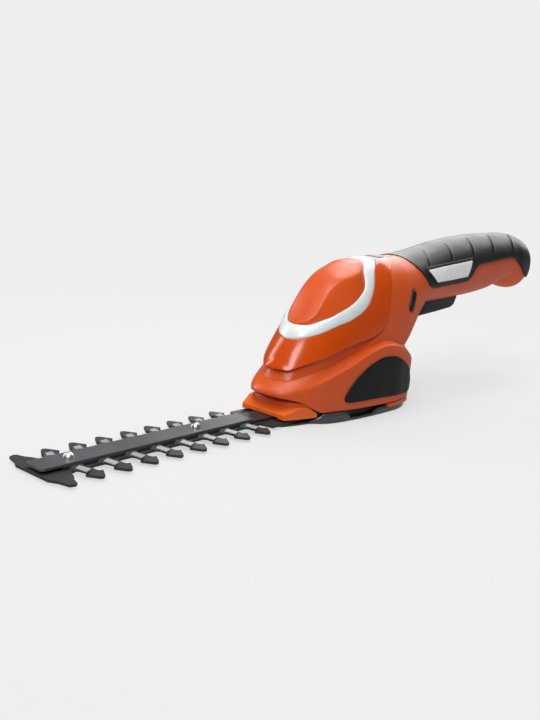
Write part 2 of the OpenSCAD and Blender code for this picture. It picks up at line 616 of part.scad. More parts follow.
// Sole, blade carrier and latch
outline_n = 44;
shoe_outline = [for (j = [0:outline_n]) smooth(shoe_shares * form_len, j / outline_n)];
function inset(P, d) = [for (i = [0:len(P) - 1]) let (a = P[max(i - 1, 0)], b = P[min(i + 1, len(P) - 1)],
  n = unit([b[1] - a[1], a[0] - b[0]]), q = P[i] + d * n) if (q[1] > tiny) q];
peg_shares = [[0.2, 0.12], [-0.06, 0.12]];
post_shares = [-0.55, 0.1];
post_r_share = 0.014;
front_rim_shares = [0.285, 0.08];
mid_rim_shares = [-0.14, -0.22];
rim_from_share = 0.38;
rim_line = [for (p = shoe_outline) if (p[0] < rim_from_share * form_len) p];
// Everything above a height, between two stations
module above(z, ends) {
  translate([ends[1] * form_len, -form_len, z])
    cube([(ends[0] - ends[1]) * form_len, 2 * form_len, form_len]);
}
module shoe() {
  z0 = sole_t - overrun / 2;
  color("Gray")
    union() {
      difference() {
        plan_plate(shoe_outline, 0, sole_high);
        plan_plate(inset(rim_line, -sole_rim), sole_t, sole_high + overrun);
        above(sole_t, [1, front_rim_shares[0]]);
        above(sole_t, [front_rim_shares[1], mid_rim_shares[0]]);
        above(sole_low, [mid_rim_shares[1], -1]);
      }
      for (s = [-1, 1]) {
        for (p = peg_shares * form_len)
          translate([p[0], s * p[1], z0])
            cylinder(r = peg_r, h = comb_z + plate_t - z0);
        translate([post_shares[0] * form_len, s * post_shares[1] * form_len, z0])
          cylinder(r = post_r_share * form_len, h = latch_high - z0);
      }
    }
}
carrier_shares = [
  [0.525, 0.15], [0.34, 0.18], [0.29, 0.19], [0.27, 0.215], [0.1, 0.245], [-0.12, 0.262], [-0.17, 0.262]
];
carrier_low_share = 0.0375;
carrier_top_share = 0.061;
carrier_step_share = 0.315;
carrier_back_share = -0.125;
pocket_share = 0.012;
module rim_pocket(ends) {
  intersection() {
    difference() {
      plan_plate(inset(shoe_outline, sole_rim), 0, form_len);
      plan_plate(inset(shoe_outline, -sole_rim - edge_gap), -overrun, form_len + overrun);
    }
    span(ends[0] + pocket_share, ends[1] - pocket_share);
  }
}
module blade_carrier() {
  back = carrier_back_share * form_len;
  color("DarkSlateGray")
    difference() {
      union() {
        plan_plate(carrier_shares * form_len, blade_z, carrier_low_share * form_len);
        intersection() {
          plan_plate(carrier_shares * form_len, blade_z, carrier_top_share * form_len);
          span(carrier_step_share, -carrier_step_share);
        }
      }
      translate([back, -tail_half - edge_gap, 0])
        cube([form_len, 2 * (tail_half + edge_gap), form_len]);
      rim_pocket(front_rim_shares);
      rim_pocket(mid_rim_shares);
    }
}
latch_steps = 30;
latch_from = 0.72;
latch_front_share = -0.265;
latch_outline = [for (j = [0:latch_steps]) let (w = smooth(wall_pts, mix(latch_from, 1, j / latch_steps)))
  [w[0], w[1]]];
module shoe_latch() {
  color("Tomato")
    difference() {
      plan_plate(latch_outline, latch_low, latch_high);
      plan_plate(inset(latch_outline, -latch_width), latch_low - overrun, latch_high + overrun);
      span(0, latch_front_share);
    }
}
latch_leaf_shares = [
  [-0.567, -0.112], [-0.59, -0.07], [-0.626, 0], [-0.59, 0.07], [-0.567, 0.112], [-0.562, 0.109],
  [-0.585, 0.067], [-0.618, 0], [-0.585, -0.067], [-0.562, -0.109]
];
module latch_spring() {
  color("Silver")
    translate([0, 0, latch_low])
      linear_extrude(latch_high - latch_low - edge_gap)
        polygon(latch_leaf_shares * form_len);
}

// Cutting plates
first_x_share = 2.0625;
bar_end_shares = [2.118, 2.105, 0.702];
rivet_shares = [1.92, 1.087];
rivet_x = rivet_shares * form_len;
function tooth_x(k) = first_x_share * form_len - k * tooth_pitch;
// One comb tooth: along in shares of the pitch, across from the strip to the tip
comb_tooth_shares = [
  [0.26, 0], [0.17, 0.1], [0.15, 0.38], [0.2, 0.5], [0.305, 0.535], [0.28, 0.6], [0.09, 0.95], [0, 1],
  [-0.09, 0.95], [-0.28, 0.6], [-0.305, 0.535], [-0.2, 0.5], [-0.15, 0.38], [-0.17, 0.1], [-0.26, 0]
];
// Nose of the comb: along in shares of form_len, across from the strip to the tip
nose_shares = [
  [2.125, 0.23], [2.1, 0.56], [2.085, 0.98], [2.06, 1.03], [2.045, 0.99], [2.03, 0.7],
  [2.005, 0.46], [1.985, 0.1]
];
comb_rear_share = -0.12;
neck_step_shares = [0.5, 0.62];
function comb_points() = let (end = tooth_x(tooth_count)) concat(
  [for (p = nose_shares) [p[0] * form_len, mix(comb_half, tip_half, p[1])]],
  [for (k = [1:tooth_count], t = comb_tooth_shares)
    [tooth_x(k) + t[0] * tooth_pitch, mix(comb_half, tip_half, t[1])]],
  [[end - neck_step_shares[0] * tooth_pitch, comb_half], [end - neck_step_shares[1] * tooth_pitch, neck_half],
    [comb_rear_share * form_len, neck_half]]
);
module upright_holes(at, r) {
  for (p = at)
    translate([p[0], p[1], 0])
      cylinder(r = r, h = form_len);
}
rivet_at = [for (x = rivet_x) [x, 0]];
peg_at = [for (p = peg_shares * form_len, s = [-1, 1]) [p[0], s * p[1]]];
module fixed_comb() {
  color("DarkSlateGray")
    difference() {
      plan_plate(comb_points(), comb_z, comb_z + plate_t);
      upright_holes(rivet_at, rivet_r + run_fit);
      upright_holes(peg_at, peg_r + run_fit);
    }
}
// One moving tooth: foot and tip half lengths and the ground land as shares of the pitch
foot_share = 0.27;
tip_share = 0.15;
land_share = 0.1;
module moving_tooth(x, s) {
  f = foot_share * tooth_pitch;
  t = tip_share * tooth_pitch;
  g = land_share * tooth_pitch;
  r = s * (blade_half - overrun);
  low_y = s * blade_tip_half;
  high_y = s * (blade_tip_half - g / 2);
  low = [[x + f, r], [x - f, r], [x - t, low_y], [x + t, low_y]];
  high = [[x + f - g, r], [x - f + g, r], [x - t + g, high_y], [x + t - g, high_y]];
  turn = s > 0 ? [3, 2, 1, 0] : [0, 1, 2, 3];
  points = concat(
    [for (i = turn) concat(low[i], blade_z)], [for (i = turn) concat(high[i], blade_z + plate_t)]
  );
  polyhedron(points = points, faces = [[0, 1, 2], [0, 2, 3], [4, 6, 5], [4, 7, 6],
    for (i = [0:3]) let (j = (i + 1) % 4) each [[i, i + 4, j], [j, i + 4, j + 4]]]);
}
module moving_blade() {
  rear = crank_x - 2 * crank_throw - crank_pin_r - crank_play;
  front = bar_end_shares[0] * form_len - 3 * crank_throw;
  slot = crank_throw + crank_play;
  pin_room = crank_pin_r + crank_play;
  color("SlateGray")
    difference() {
      union() {
        translate([rear, -blade_half, blade_z])
          cube([front - rear, 2 * blade_half, plate_t]);
        translate([rear, -yoke_half, blade_z])
          cube([4 * crank_throw + 2 * crank_pin_r, 2 * yoke_half, yoke_h]);
        for (k = [1:tooth_count], s = [-1, 1])
          moving_tooth(tooth_x(k) + blade_lead, s);
      }
      for (x = rivet_x)
        translate([x, 0, 0])
          linear_extrude(form_len)
            union() {
              square([2 * slot, 2 * (rivet_r + crank_play)], center = true);
              translate([slot, 0])
                circle(rivet_r + crank_play);
              translate([-slot, 0])
                circle(rivet_r + crank_play);
            }
      translate([crank_x - pin_room, -crank_throw - pin_room, 0])
        cube([2 * pin_room, 2 * (crank_throw + pin_room), form_len]);
    }
}
bar_taper_share = 0.77;
module guide_bar() {
  ends = bar_end_shares * form_len;
  color("DimGray")
    difference() {
      plan_plate(
        [[ends[0], bar_taper_share * bar_half], [ends[1], bar_half], [ends[2], bar_half]],
        bar_z, bar_z + bar_t
      );
      upright_holes(rivet_at, rivet_r + run_fit);
    }
}
dome_step = 15;
module blade_rivets() {
  top = bar_z + bar_t;
  color("Gainsboro")
    for (x = rivet_x)
      translate([x, 0, 0])
        rotate_extrude()
          polygon(concat([[0, comb_z], [rivet_r, comb_z], [rivet_r, top], [rivet_dome_r, top]],
            [for (a = [dome_step:dome_step:90]) [rivet_dome_r * cos(a), top + rivet_dome_h * sin(a)]]));
}

// Drive: spur pair, crank pin, axle, plate and motor
big_teeth = 38;
small_teeth = 12;
pressure_angle = 25;
big_play = 0.3;
small_play = 0.9;
flank_shares = [0, 0.35, 0.7, 1];
tip_shares = [0.9, 1.2];
motor_x = crank_x - gear_module * (big_teeth + small_teeth) / 2 - centre_slack;
function roll_angle(rb, r) = let (a = acos(min(1, rb / r))) tan(a) * 180 / PI - a;
// Outline of an involute spur gear, its teeth thinned by a play angle
function gear_points(n, play) = let (rp = gear_module * n / 2, rb = rp * cos(pressure_angle),
  ro = rp + tip_shares[0] * gear_module, rr = rp - tip_shares[1] * gear_module, rs = max(rb, rr),
  rad = concat([rr], [for (f = flank_shares) mix(rs, ro, f)]),
  half = 90 / n - play + roll_angle(rb, rp))
  [for (k = [0:n - 1]) each concat(
    [for (r = rad) let (a = 360 * k / n - (half - roll_angle(rb, max(r, rb)))) r * [cos(a), sin(a)]],
    [for (i = [len(rad) - 1:-1:0]) let (r = rad[i], a = 360 * k / n + (half - roll_angle(rb, max(r, rb))))
      r * [cos(a), sin(a)]])];
plate_z = gear_z + gear_t + plate_room;
motor_z = plate_z + gear_plate_t + plate_gap;
bore_z = gear_z + gear_t / 3;
web_share = 0.38;
module crank_gear() {
  color("Silver")
    difference() {
      union() {
        translate([crank_x, 0, gear_z])
          linear_extrude(gear_t)
            polygon(gear_points(big_teeth, big_play));
        translate([crank_x, 0, gear_z])
          cylinder(r = hub_r, h = gear_t + hub_rise);
        translate([crank_x, crank_throw, blade_z + plate_gap])
          cylinder(r = crank_pin_r, h = gear_z - blade_z + overrun);
      }
      translate([crank_x, 0, bore_z])
        cylinder(r = axle_r + run_fit, h = gear_t + hub_rise);
      difference() {
        translate([crank_x, 0, gear_z + 0.7 * gear_t])
          cylinder(r = web_share * big_teeth * gear_module, h = gear_t);
        translate([crank_x, 0, gear_z])
          cylinder(r = hub_r, h = 2 * gear_t);
      }
    }
}
module gear_axle() {
  color("Gainsboro")
    translate([crank_x, 0, bore_z + plate_gap])
      cylinder(r = axle_r, h = plate_z + gear_plate_t - bore_z - plate_gap);
}
plate_span = [0.41, 0.8];
plate_steps = 40;
gear_plate_run = [for (j = [0:plate_steps])
  let (w = smooth(wall_pts, mix(plate_span[0], plate_span[1], j / plate_steps))) [w[0], w[1]]];
gear_plate_pts = inset(gear_plate_run, -wall - 2 * edge_gap);
motor_nose_r = 3 * gear_module;
module gear_plate() {
  color("LightGray")
    difference() {
      plan_plate(gear_plate_pts, plate_z, plate_z + gear_plate_t);
      translate([crank_x, 0, 0])
        cylinder(r = axle_r + run_fit, h = form_len);
      translate([motor_x, 0, 0])
        cylinder(r = motor_nose_r + edge_gap, h = form_len);
    }
}
brush_cap_share = 0.4;
module motor() {
  top = motor_z + motor_len - overrun;
  color("Silver")
    difference() {
      union() {
        translate([motor_x, 0, motor_z])
          cylinder(r = motor_r, h = motor_len);
        translate([motor_x, 0, motor_z - gear_plate_t])
          cylinder(r = motor_nose_r, h = 2 * gear_plate_t);
        translate([motor_x, 0, top])
          cylinder(r = brush_cap_share * motor_r, h = 3 * overrun);
        for (s = [-1, 1])
          translate([motor_x - overrun, s * motor_r / 2 - overrun / 2, top])
            cube([2 * overrun, overrun, 4 * overrun]);
      }
      translate([motor_x, 0, motor_z - gear_plate_t - overrun])
        cylinder(r = shaft_r + run_fit, h = motor_len / 2 + gear_plate_t + overrun);
    }
}
module motor_pinion() {
  color("Goldenrod")
    union() {
      translate([motor_x, 0, gear_z - hub_rise / 2])
        rotate([0, 0, 180 / small_teeth])
          linear_extrude(gear_t + hub_rise)
            polygon(gear_points(small_teeth, small_play));
      translate([motor_x, 0, gear_z])
        cylinder(r = shaft_r, h = motor_z - gear_plate_t - gear_z + motor_len / 2);
    }
}
module circuit_board() {
  z0 = motor_z + motor_len + 3 * overrun + 2 * plate_gap;
  color("DarkGreen")
    union() {
      translate([motor_x - 0.7 * motor_r, -0.42 * motor_r, z0])
        cube([1.5 * motor_r, 0.84 * motor_r, board_t]);
      translate([motor_x - 0.3 * motor_r, -0.2 * motor_r, z0 + board_t / 2])
        cube([0.5 * motor_r, 0.4 * motor_r, 2 * board_t]);
      translate([motor_x + 0.4 * motor_r, -0.25 * motor_r, z0 + board_t / 2])
        cube([0.25 * motor_r, 0.5 * motor_r, 1.5 * board_t]);
    }
}

// Power
cell_shares = [-0.915, 0.815];
cell_at = cell_shares * form_len;
module battery_cells() {
  color("SteelBlue")
    for (k = [0, 1])
      translate([cell_at[0] - k * (cell_len + cell_gap), 0, cell_at[1]])
        rotate([0, -90, 0])
          union() {
            cylinder(r = cell_r, h = cell_len - overrun / 2);
            cylinder(r = 0.4 * cell_r, h = cell_len);
          }
}
rib_shares = [-0.93, -1.58, -2.2];
rib_low_share = 0.725;
rib_steps = 24;
module cradle_rib(x) {
  mid = main_at(x);
  shrink = 1 - (wall + 3 * edge_gap) / mid[3];
  left = [for (m = [0:rib_steps]) let (p = main_pt(x, mix(90, -90, m / rib_steps)))
    [max(0, p[1] * shrink), mid[1] + (p[2] - mid[1]) * shrink]];
  full = concat(left, [for (i = [rib_steps:-1:0]) if (left[i][0] > tiny) [-left[i][0], left[i][1]]]);
  translate([x, 0, 0])
    rotate([90, 0, 90])
      linear_extrude(rib_t)
        intersection() {
          polygon(full);
          translate([-form_len, rib_low_share * form_len])
            square([2 * form_len, form_len]);
        }
}
module cell_cradle() {
  x0 = rib_shares[2] * form_len;
  color("DimGray")
    difference() {
      union() {
        for (x = rib_shares * form_len)
          cradle_rib(x);
        for (s = [-1, 1])
          translate([x0, s * (cell_r + rib_t) - rib_t / 2, cell_at[1] - rail_h / 2])
            cube([rib_shares[0] * form_len - x0 + rib_t, rib_t, rail_h]);
      }
      along_bar([x0 - overrun, cell_at[1]], cell_r + edge_gap, 2 * form_len);
    }
}
switch_shares = [-0.7, 0.7];
module switch_module() {
  at = switch_shares * form_len;
  rear = at[0] - switch_len;
  color("Black")
    union() {
      translate([rear, -switch_half, at[1]])
        cube([switch_len, 2 * switch_half, switch_h]);
      translate([rear - lever_len, -lever_half, at[1] + lever_t])
        cube([lever_len + overrun, 2 * lever_half, lever_t]);
      translate([rear - lever_len, -lever_half, at[1] - lever_drop])
        cube([2 * lever_half, 2 * lever_half, lever_drop + 2 * lever_t]);
    }
}
module charge_socket() {
  color("Black")
    difference() {
      along_bar(socket_at, socket_r, socket_depth + socket_floor);
      along_bar(socket_at - [overrun, 0], socket_bore_r, socket_depth + overrun);
    }
}

// Controls
trigger_shares = [
  [-0.823, 0.462], [-0.84, 0.478], [-0.875, 0.497], [-0.93, 0.508], [-1.1, 0.521], [-1.345, 0.536],
  [-1.39, 0.555], [-1.415, 0.605], [-1.42, 0.655], [-1.2, 0.66], [-1, 0.672], [-0.94, 0.692],
  [-0.87, 0.692], [-0.842, 0.665], [-0.835, 0.56]
];
module trigger() {
  color("Black")
    difference() {
      side_plate(trigger_shares, trigger_half);
      side_rod(pivot_at, pivot_r + run_fit, -form_len / 2, form_len / 2);
    }
}
module trigger_pin() {
  color("Gainsboro")
    side_rod(pivot_at, pivot_r, -slot_half - pivot_reach, slot_half + pivot_reach);
}
trigger_leaf_shares = [
  [-1.08, 0.674], [-1.24, 0.706], [-1.4, 0.712], [-1.4, 0.707], [-1.24, 0.7], [-1.08, 0.669]
];
module trigger_spring() {
  color("Silver")
    side_plate(trigger_leaf_shares, leaf_half);
}
module lock_off_button() {
  reach = skin_y(lock_at[0], lock_at[1]) + lock_proud;
  color("Black")
    translate([lock_at[0], 0, lock_at[1]])
      capsule(lock_half, lock_straight, 2 * reach);
}
lock_leaf_shares = [
  [-0.573, -0.16], [-0.6, -0.1], [-0.595, -0.02], [-0.6, 0.06], [-0.605, 0.06], [-0.6, -0.02],
  [-0.606, -0.1], [-0.578, -0.165]
];
module lock_off_spring() {
  color("Silver")
    translate([0, 0, lock_at[1] - leaf_half / 2])
      linear_extrude(leaf_half)
        polygon(lock_leaf_shares * form_len);
}
module housing_screws() {
  color("DarkGray")
    for (s = screw_at) {
      seat = head_seat(s) + run_fit;
      translate([s[0], 0, s[1]])
        difference() {
          union() {
            side_rod([0, 0], screw_head_r, -seat - screw_head_h, -seat);
            side_rod([0, 0], screw_r - run_fit, -seat - screw_head_h / 2, bore_end(s) - overrun);
          }
          for (a = [0, 90])
            rotate([0, a, 0])
              translate([-screw_head_r / 2, -seat - 2 * screw_head_h, -screw_r / 4])
                cube([screw_head_r, 1.5 * screw_head_h, screw_r / 2]);
        }
    }
}

lower_housing();
front_apron();
housing_left();
housing_right();
nose_cover();
trim_band();
crown_insert();
led_lens();
grip_overmould();
label_plate_left();
badge_left();
shoe();
blade_carrier();
shoe_latch();
latch_spring();
fixed_comb();
moving_blade();
guide_bar();
blade_rivets();
crank_gear();
gear_axle();
gear_plate();
motor();
motor_pinion();
circuit_board();
battery_cells();
cell_cradle();
switch_module();
trigger();
trigger_pin();
trigger_spring();
lock_off_button();
lock_off_spring();
charge_socket();
housing_screws();
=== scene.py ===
"""Looks of a cordless garden shear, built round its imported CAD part.

Lengths in the fields below are in millimetres of the part's own frame: +X runs forward to the blade tip,
+Y to the left side, +Z up from the sole. Meshes are written in metres, and the lamps are placed in metres.
A place on the body's main form is a station along X and an angle round the section there.
"""

from __future__ import annotations

import logging
import math
from dataclasses import dataclass
from enum import Enum
from typing import Any, Sequence

import bpy
import numpy as np
from mathutils import Matrix, Vector

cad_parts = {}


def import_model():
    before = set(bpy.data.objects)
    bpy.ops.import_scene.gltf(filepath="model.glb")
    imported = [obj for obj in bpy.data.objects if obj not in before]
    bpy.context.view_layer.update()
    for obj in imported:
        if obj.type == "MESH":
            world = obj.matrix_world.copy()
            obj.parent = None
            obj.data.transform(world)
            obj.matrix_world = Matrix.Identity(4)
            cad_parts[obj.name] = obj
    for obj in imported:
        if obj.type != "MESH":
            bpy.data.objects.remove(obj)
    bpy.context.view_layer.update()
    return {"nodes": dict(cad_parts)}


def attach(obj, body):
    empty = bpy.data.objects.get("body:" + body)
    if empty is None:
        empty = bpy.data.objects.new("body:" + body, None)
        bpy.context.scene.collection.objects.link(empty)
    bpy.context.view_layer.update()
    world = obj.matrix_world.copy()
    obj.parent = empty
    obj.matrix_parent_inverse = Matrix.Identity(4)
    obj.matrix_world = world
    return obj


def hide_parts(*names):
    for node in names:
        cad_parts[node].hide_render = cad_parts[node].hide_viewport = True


LOG = logging.getLogger("shear")
MM = 0.001
TINY = 1e-9
MIRROR = np.array([1, -1, 1])
UP = np.array([0, 0, 1.0])

Array = np.ndarray
Pairs = Sequence[tuple[float, float]]
Triple = tuple[float, float, float]


class Side(Enum):
    """The two sides of the tool, as the sign of their Y."""

    LEFT = 1
    RIGHT = -1


class Body(Enum):
    """Rigid bodies of the part that pieces ride on."""

    HOUSING = "housing"
    BLADE = "blade"
    TRIGGER = "trigger"
    LOCK_OFF = "lock_off"


# Materials


def linear(code: str) -> tuple[float, float, float, float]:
    """Turns an sRGB hex code into linear light.

    Args:
        code: Six hex digits, with or without a leading hash.

    Returns:
        Linear red, green and blue, and an alpha of one.
    """
    digits = code.lstrip("#")
    parts = [int(digits[i : i + 2], 16) / 255 for i in (0, 2, 4)]
    lit = [c / 12.92 if c <= 0.04045 else ((c + 0.055) / 1.055) ** 2.4 for c in parts]
    return lit[0], lit[1], lit[2], 1.0


def add_node(
    tree: bpy.types.NodeTree, kind: str, inputs: dict[str | int, Any] | None = None, **settings: Any
) -> bpy.types.Node:
    """Adds a node, sets it up and links it.

    Args:
        tree: The tree that takes the node.
        kind: Blender's name for the kind of node.
        inputs: Socket names or numbers with a constant, or with the output socket that feeds them.
        **settings: Properties of the node itself.

    Returns:
        The new node.
    """
    node = tree.nodes.new(kind)
    for key, value in settings.items():
        setattr(node, key, value)
    for key, value in (inputs or {}).items():
        if isinstance(value, bpy.types.NodeSocket):
            tree.links.new(value, node.inputs[key])
        else:
            node.inputs[key].default_value = value
    return node


@dataclass(frozen=True)
class Finish:
    """A real material: its colour, gloss and grain.

    The grain is a fine bump of a stated size and depth, the colour drifts over a few centimetres and
    handling marks vary the gloss, so no face is one flat tone.
    """

    name: str
    colour: str
    second: str
    roughness: float
    metallic: float = 0.0
    ior: float = 1.5
    grain_mm: float = 0.35
    grain_depth_mm: float = 0.01
    drift_mm: float = 45.0
    marks_mm: float = 15.0
    noise_span: tuple[float, float] = (0.3, 0.7)
    gloss_spread: float = 0.06
    coat: float = 0.0
    coat_roughness: float = 0.06
    sheen: float = 0.0
    stretch: Triple = (1.0, 1.0, 1.0)

    def tint(self, tree: bpy.types.NodeTree, where: bpy.types.NodeSocket) -> bpy.types.NodeSocket:
        """Adds the slow drift between the two colours.

        Args:
            tree: The material's node tree.
            where: The coordinates.

        Returns:
            The colour output.
        """
        scale = 1 / (self.drift_mm * MM)
        cloud = add_node(tree, "ShaderNodeTexNoise", {"Vector": where, "Scale": scale, "Detail": 3.0})
        ramp = add_node(tree, "ShaderNodeValToRGB", {"Fac": cloud.outputs["Fac"]})
        for stop, place, code in zip(ramp.color_ramp.elements, self.noise_span, (self.colour, self.second)):
            stop.position = place
            stop.color = linear(code)
        return ramp.outputs["Color"]

    def gloss(self, tree: bpy.types.NodeTree, where: bpy.types.NodeSocket) -> bpy.types.NodeSocket:
        """Adds the handling marks.

        Args:
            tree: The material's node tree.
            where: The coordinates.

        Returns:
            The roughness output.
        """
        scale = 1 / (self.marks_mm * MM)
        cloud = add_node(tree, "ShaderNodeTexNoise", {"Vector": where, "Scale": scale, "Detail": 4.0})
        spread = add_node(
            tree,
            "ShaderNodeMapRange",
            {
                "Value": cloud.outputs["Fac"],
                "From Min": self.noise_span[0],
                "From Max": self.noise_span[1],
                "To Min": self.roughness - self.gloss_spread,
                "To Max": self.roughness + self.gloss_spread,
            },
        )
        return spread.outputs["Result"]

    def grain(self, tree: bpy.types.NodeTree, where: bpy.types.NodeSocket) -> bpy.types.NodeSocket:
        """Adds the fine grain.

        Args:
            tree: The material's node tree.
            where: The coordinates.

        Returns:
            The normal output.
        """
        scale = 1 / (self.grain_mm * MM)
        noise = add_node(tree, "ShaderNodeTexNoise", {"Vector": where, "Scale": scale, "Detail": 2.0})
        depth = self.grain_depth_mm * MM
        bump = add_node(
            tree, "ShaderNodeBump", {"Height": noise.outputs["Fac"], "Strength": 1.0, "Distance": depth}
        )
        return bump.outputs["Normal"]

    def build(self) -> bpy.types.Material:
        """Makes the material once and returns it from then on.

        Returns:
            The Blender material.
        """
        known = bpy.data.materials.get(self.name)
        if known:
            return known
        material = bpy.data.materials.new(self.name)
        material.use_nodes = True
        tree = material.node_tree
        tree.nodes.clear()
        place = add_node(tree, "ShaderNodeTexCoord").outputs["Object"]
        mapped = add_node(tree, "ShaderNodeMapping", {"Vector": place, "Scale": self.stretch})
        where = mapped.outputs["Vector"]
        shader = add_node(
            tree,
            "ShaderNodeBsdfPrincipled",
            {
                "Base Color": self.tint(tree, where),
                "Roughness": self.gloss(tree, where),
                "Normal": self.grain(tree, where),
                "Metallic": self.metallic,
                "IOR": self.ior,
                "Coat Weight": self.coat,
                "Coat Roughness": self.coat_roughness,
                "Sheen Weight": self.sheen,
            },
        )
        add_node(tree, "ShaderNodeOutputMaterial", {"Surface": shader.outputs["BSDF"]})
        return material


# Satin ABS: the eye gets a full orange with a broad soft highlight and a fine spark-eroded grain.
HOUSING_ABS = Finish(
    "satin orange ABS", "#DA5516", "#D65112", 0.36, grain_mm=0.3, grain_depth_mm=0.006, sheen=0.04
)
# The same plastic with a smoother mould face, painted a brighter orange under the nose: that brighter orange
# is painted light, standing in for the front light on the lip.
APRON_PAINTED_LIGHT_ABS = Finish(
    "orange ABS with painted light", "#F06A20", "#EC661C", 0.34, ior=1.54, grain_mm=0.3, grain_depth_mm=0.004
)
# Polished ABS: deeper and redder, with clear window-like reflections.
COVER_ABS = Finish(
    "polished orange ABS", "#D24C06", "#CE4904", 0.22, grain_depth_mm=0.0008, gloss_spread=0.03, coat=0.15
)
# Satin chrome plate on plastic: pale, with soft wide reflections.
SATIN_PLATE = Finish(
    "satin plated trim", "#E6EBEB", "#E0E6E6", 0.32, metallic=0.05, grain_depth_mm=0.001, gloss_spread=0.04
)
# Thermoplastic rubber: almost black, dull, with a grey bloom at grazing angles.
GRIP_TPE = Finish("soft black TPE", "#0E1112", "#131718", 0.42, grain_mm=0.5, sheen=0.03)
# Polyester label film: white and slightly shiny.
LABEL_FILM = Finish("bare white film", "#FAFAF8", "#F5F6F5", 0.28, grain_depth_mm=0.0008)
# Polyester film on a plate: satin black.
BADGE_FILM = Finish("bare black plate", "#0D0E10", "#101113", 0.42, ior=1.45, grain_depth_mm=0.001)
# Smoked polycarbonate: grey, glossy.
SHOE_PC = Finish(
    "smoky grey polycarbonate", "#3C4245", "#454B4E", 0.12,
    ior=1.58, grain_depth_mm=0.001, gloss_spread=0.04, coat=0.4,
)
# Glass-filled nylon: black and dull, with a coarse grain.
NYLON = Finish(
    "black glass-filled nylon", "#131314", "#1A1A1C", 0.48, ior=1.53, grain_mm=0.4, grain_depth_mm=0.012
)
# Hardened blade steel with a black oxide skin, brushed along the blade.
OXIDE_STEEL = Finish(
    "black oxide blade steel", "#3A3B3D", "#434446", 0.44,
    metallic=0.35, grain_mm=0.5, grain_depth_mm=0.004, stretch=(0.12, 1, 1),
)
# Ground steel: the bright cutting bevels.
GROUND_STEEL = Finish(
    "ground blade steel", "#B4B6B8", "#A8ABAE", 0.42,
    metallic=0.3, grain_depth_mm=0.003, stretch=(1, 0.15, 1),
)
# Phosphated strip: dark grey and even.
BAR_STEEL = Finish(
    "phosphated strip steel", "#58595C", "#626366", 0.42, metallic=0.35, grain_mm=0.4, grain_depth_mm=0.004
)
# Chrome-plated rivet heads: bright, a little soft.
RIVET_CHROME = Finish("satin chrome rivet", "#E4E5E6", "#DADCDD", 0.4, metallic=1.0, grain_depth_mm=0.0008)
# Nickel plate on pins and screws: bright and clear.
NICKEL = Finish("polished nickel", "#D4D5D6", "#C6C8CA", 0.16, metallic=1.0, grain_depth_mm=0.0008)
# Sintered gear steel: mid grey with fine pores.
SINTER = Finish("sintered steel", "#8C8D8F", "#7C7D80", 0.42, metallic=1.0, grain_mm=0.25)
# Zinc plate on sheet and can: pale grey, half bright.
ZINC = Finish(
    "zinc plated steel", "#B4B7B8", "#A6AAAC", 0.32, metallic=1.0, grain_mm=0.6, grain_depth_mm=0.003
)
# Solder-masked board: green under a clear skin.
BOARD = Finish("green solder mask", "#0E5A2A", "#126A33", 0.3, grain_mm=0.8, coat=0.3)
# Shrink film on the cells: blue and shiny.
CELL_FILM = Finish("blue shrink film", "#2F6DB0", "#2A64A4", 0.22, grain_depth_mm=0.002)
# Moulded acetal of the controls: black, satin.
CONTROL = Finish(
    "satin black acetal", "#161617", "#1C1C1E", 0.34, ior=1.48, grain_mm=0.3, grain_depth_mm=0.005
)
# Frosted acrylic of the light pane: a dull violet grey.
PANE = Finish("frosted grey acrylic", "#7F7A8C", "#8A8596", 0.5, ior=1.4, grain_depth_mm=0.002)


# Curves


def unit(vectors: Array) -> Array:
    """Scales the vectors in the last axis to a length of one."""
    return vectors / np.maximum(np.linalg.norm(vectors, axis=-1, keepdims=True), TINY)


def ease(share: Array) -> Array:
    """Clips a share to the range of 0 to 1 and smooths it at both ends."""
    f = np.clip(share, 0, 1)
    return f * f * (3 - 2 * f)


def arc_drop(share: Array) -> Array:
    """Finds the fall of a rounded end, from one where the share is 0 to none where it is 1."""
    return 1 - np.sqrt(1 - (1 - np.clip(share, 0, 1)) ** 2)


def bend(start: Array, corner: Array, end: Array, f: float) -> Array:
    """Finds a place on the curve that rounds a corner."""
    return (1 - f) ** 2 * start + 2 * f * (1 - f) * corner + f * f * end


def closer_ends(count: int) -> Array:
    """Spaces places from 0 to 1, closer together at both ends."""
    return (1 - np.cos(np.linspace(0, np.pi, count))) / 2


def across_at(line: Array, x: Array) -> Array:
    """Reads the second column of a line of points at given stations."""
    order = np.argsort(line[:, 0])
    return np.interp(x, line[order, 0], line[order, 1])


def at_height(line: Array, z: Array | float) -> Array:
    """Gives plan points a height, one for all or one for each."""
    return np.concatenate([line, np.broadcast_to(z, len(line))[:, None]], 1)


def between(first: Array, last: Array, share: Array) -> Array:
    """Lays a grid between two edges by the shares of each row and column."""
    return first[None] + share[..., None] * (last - first)[None]


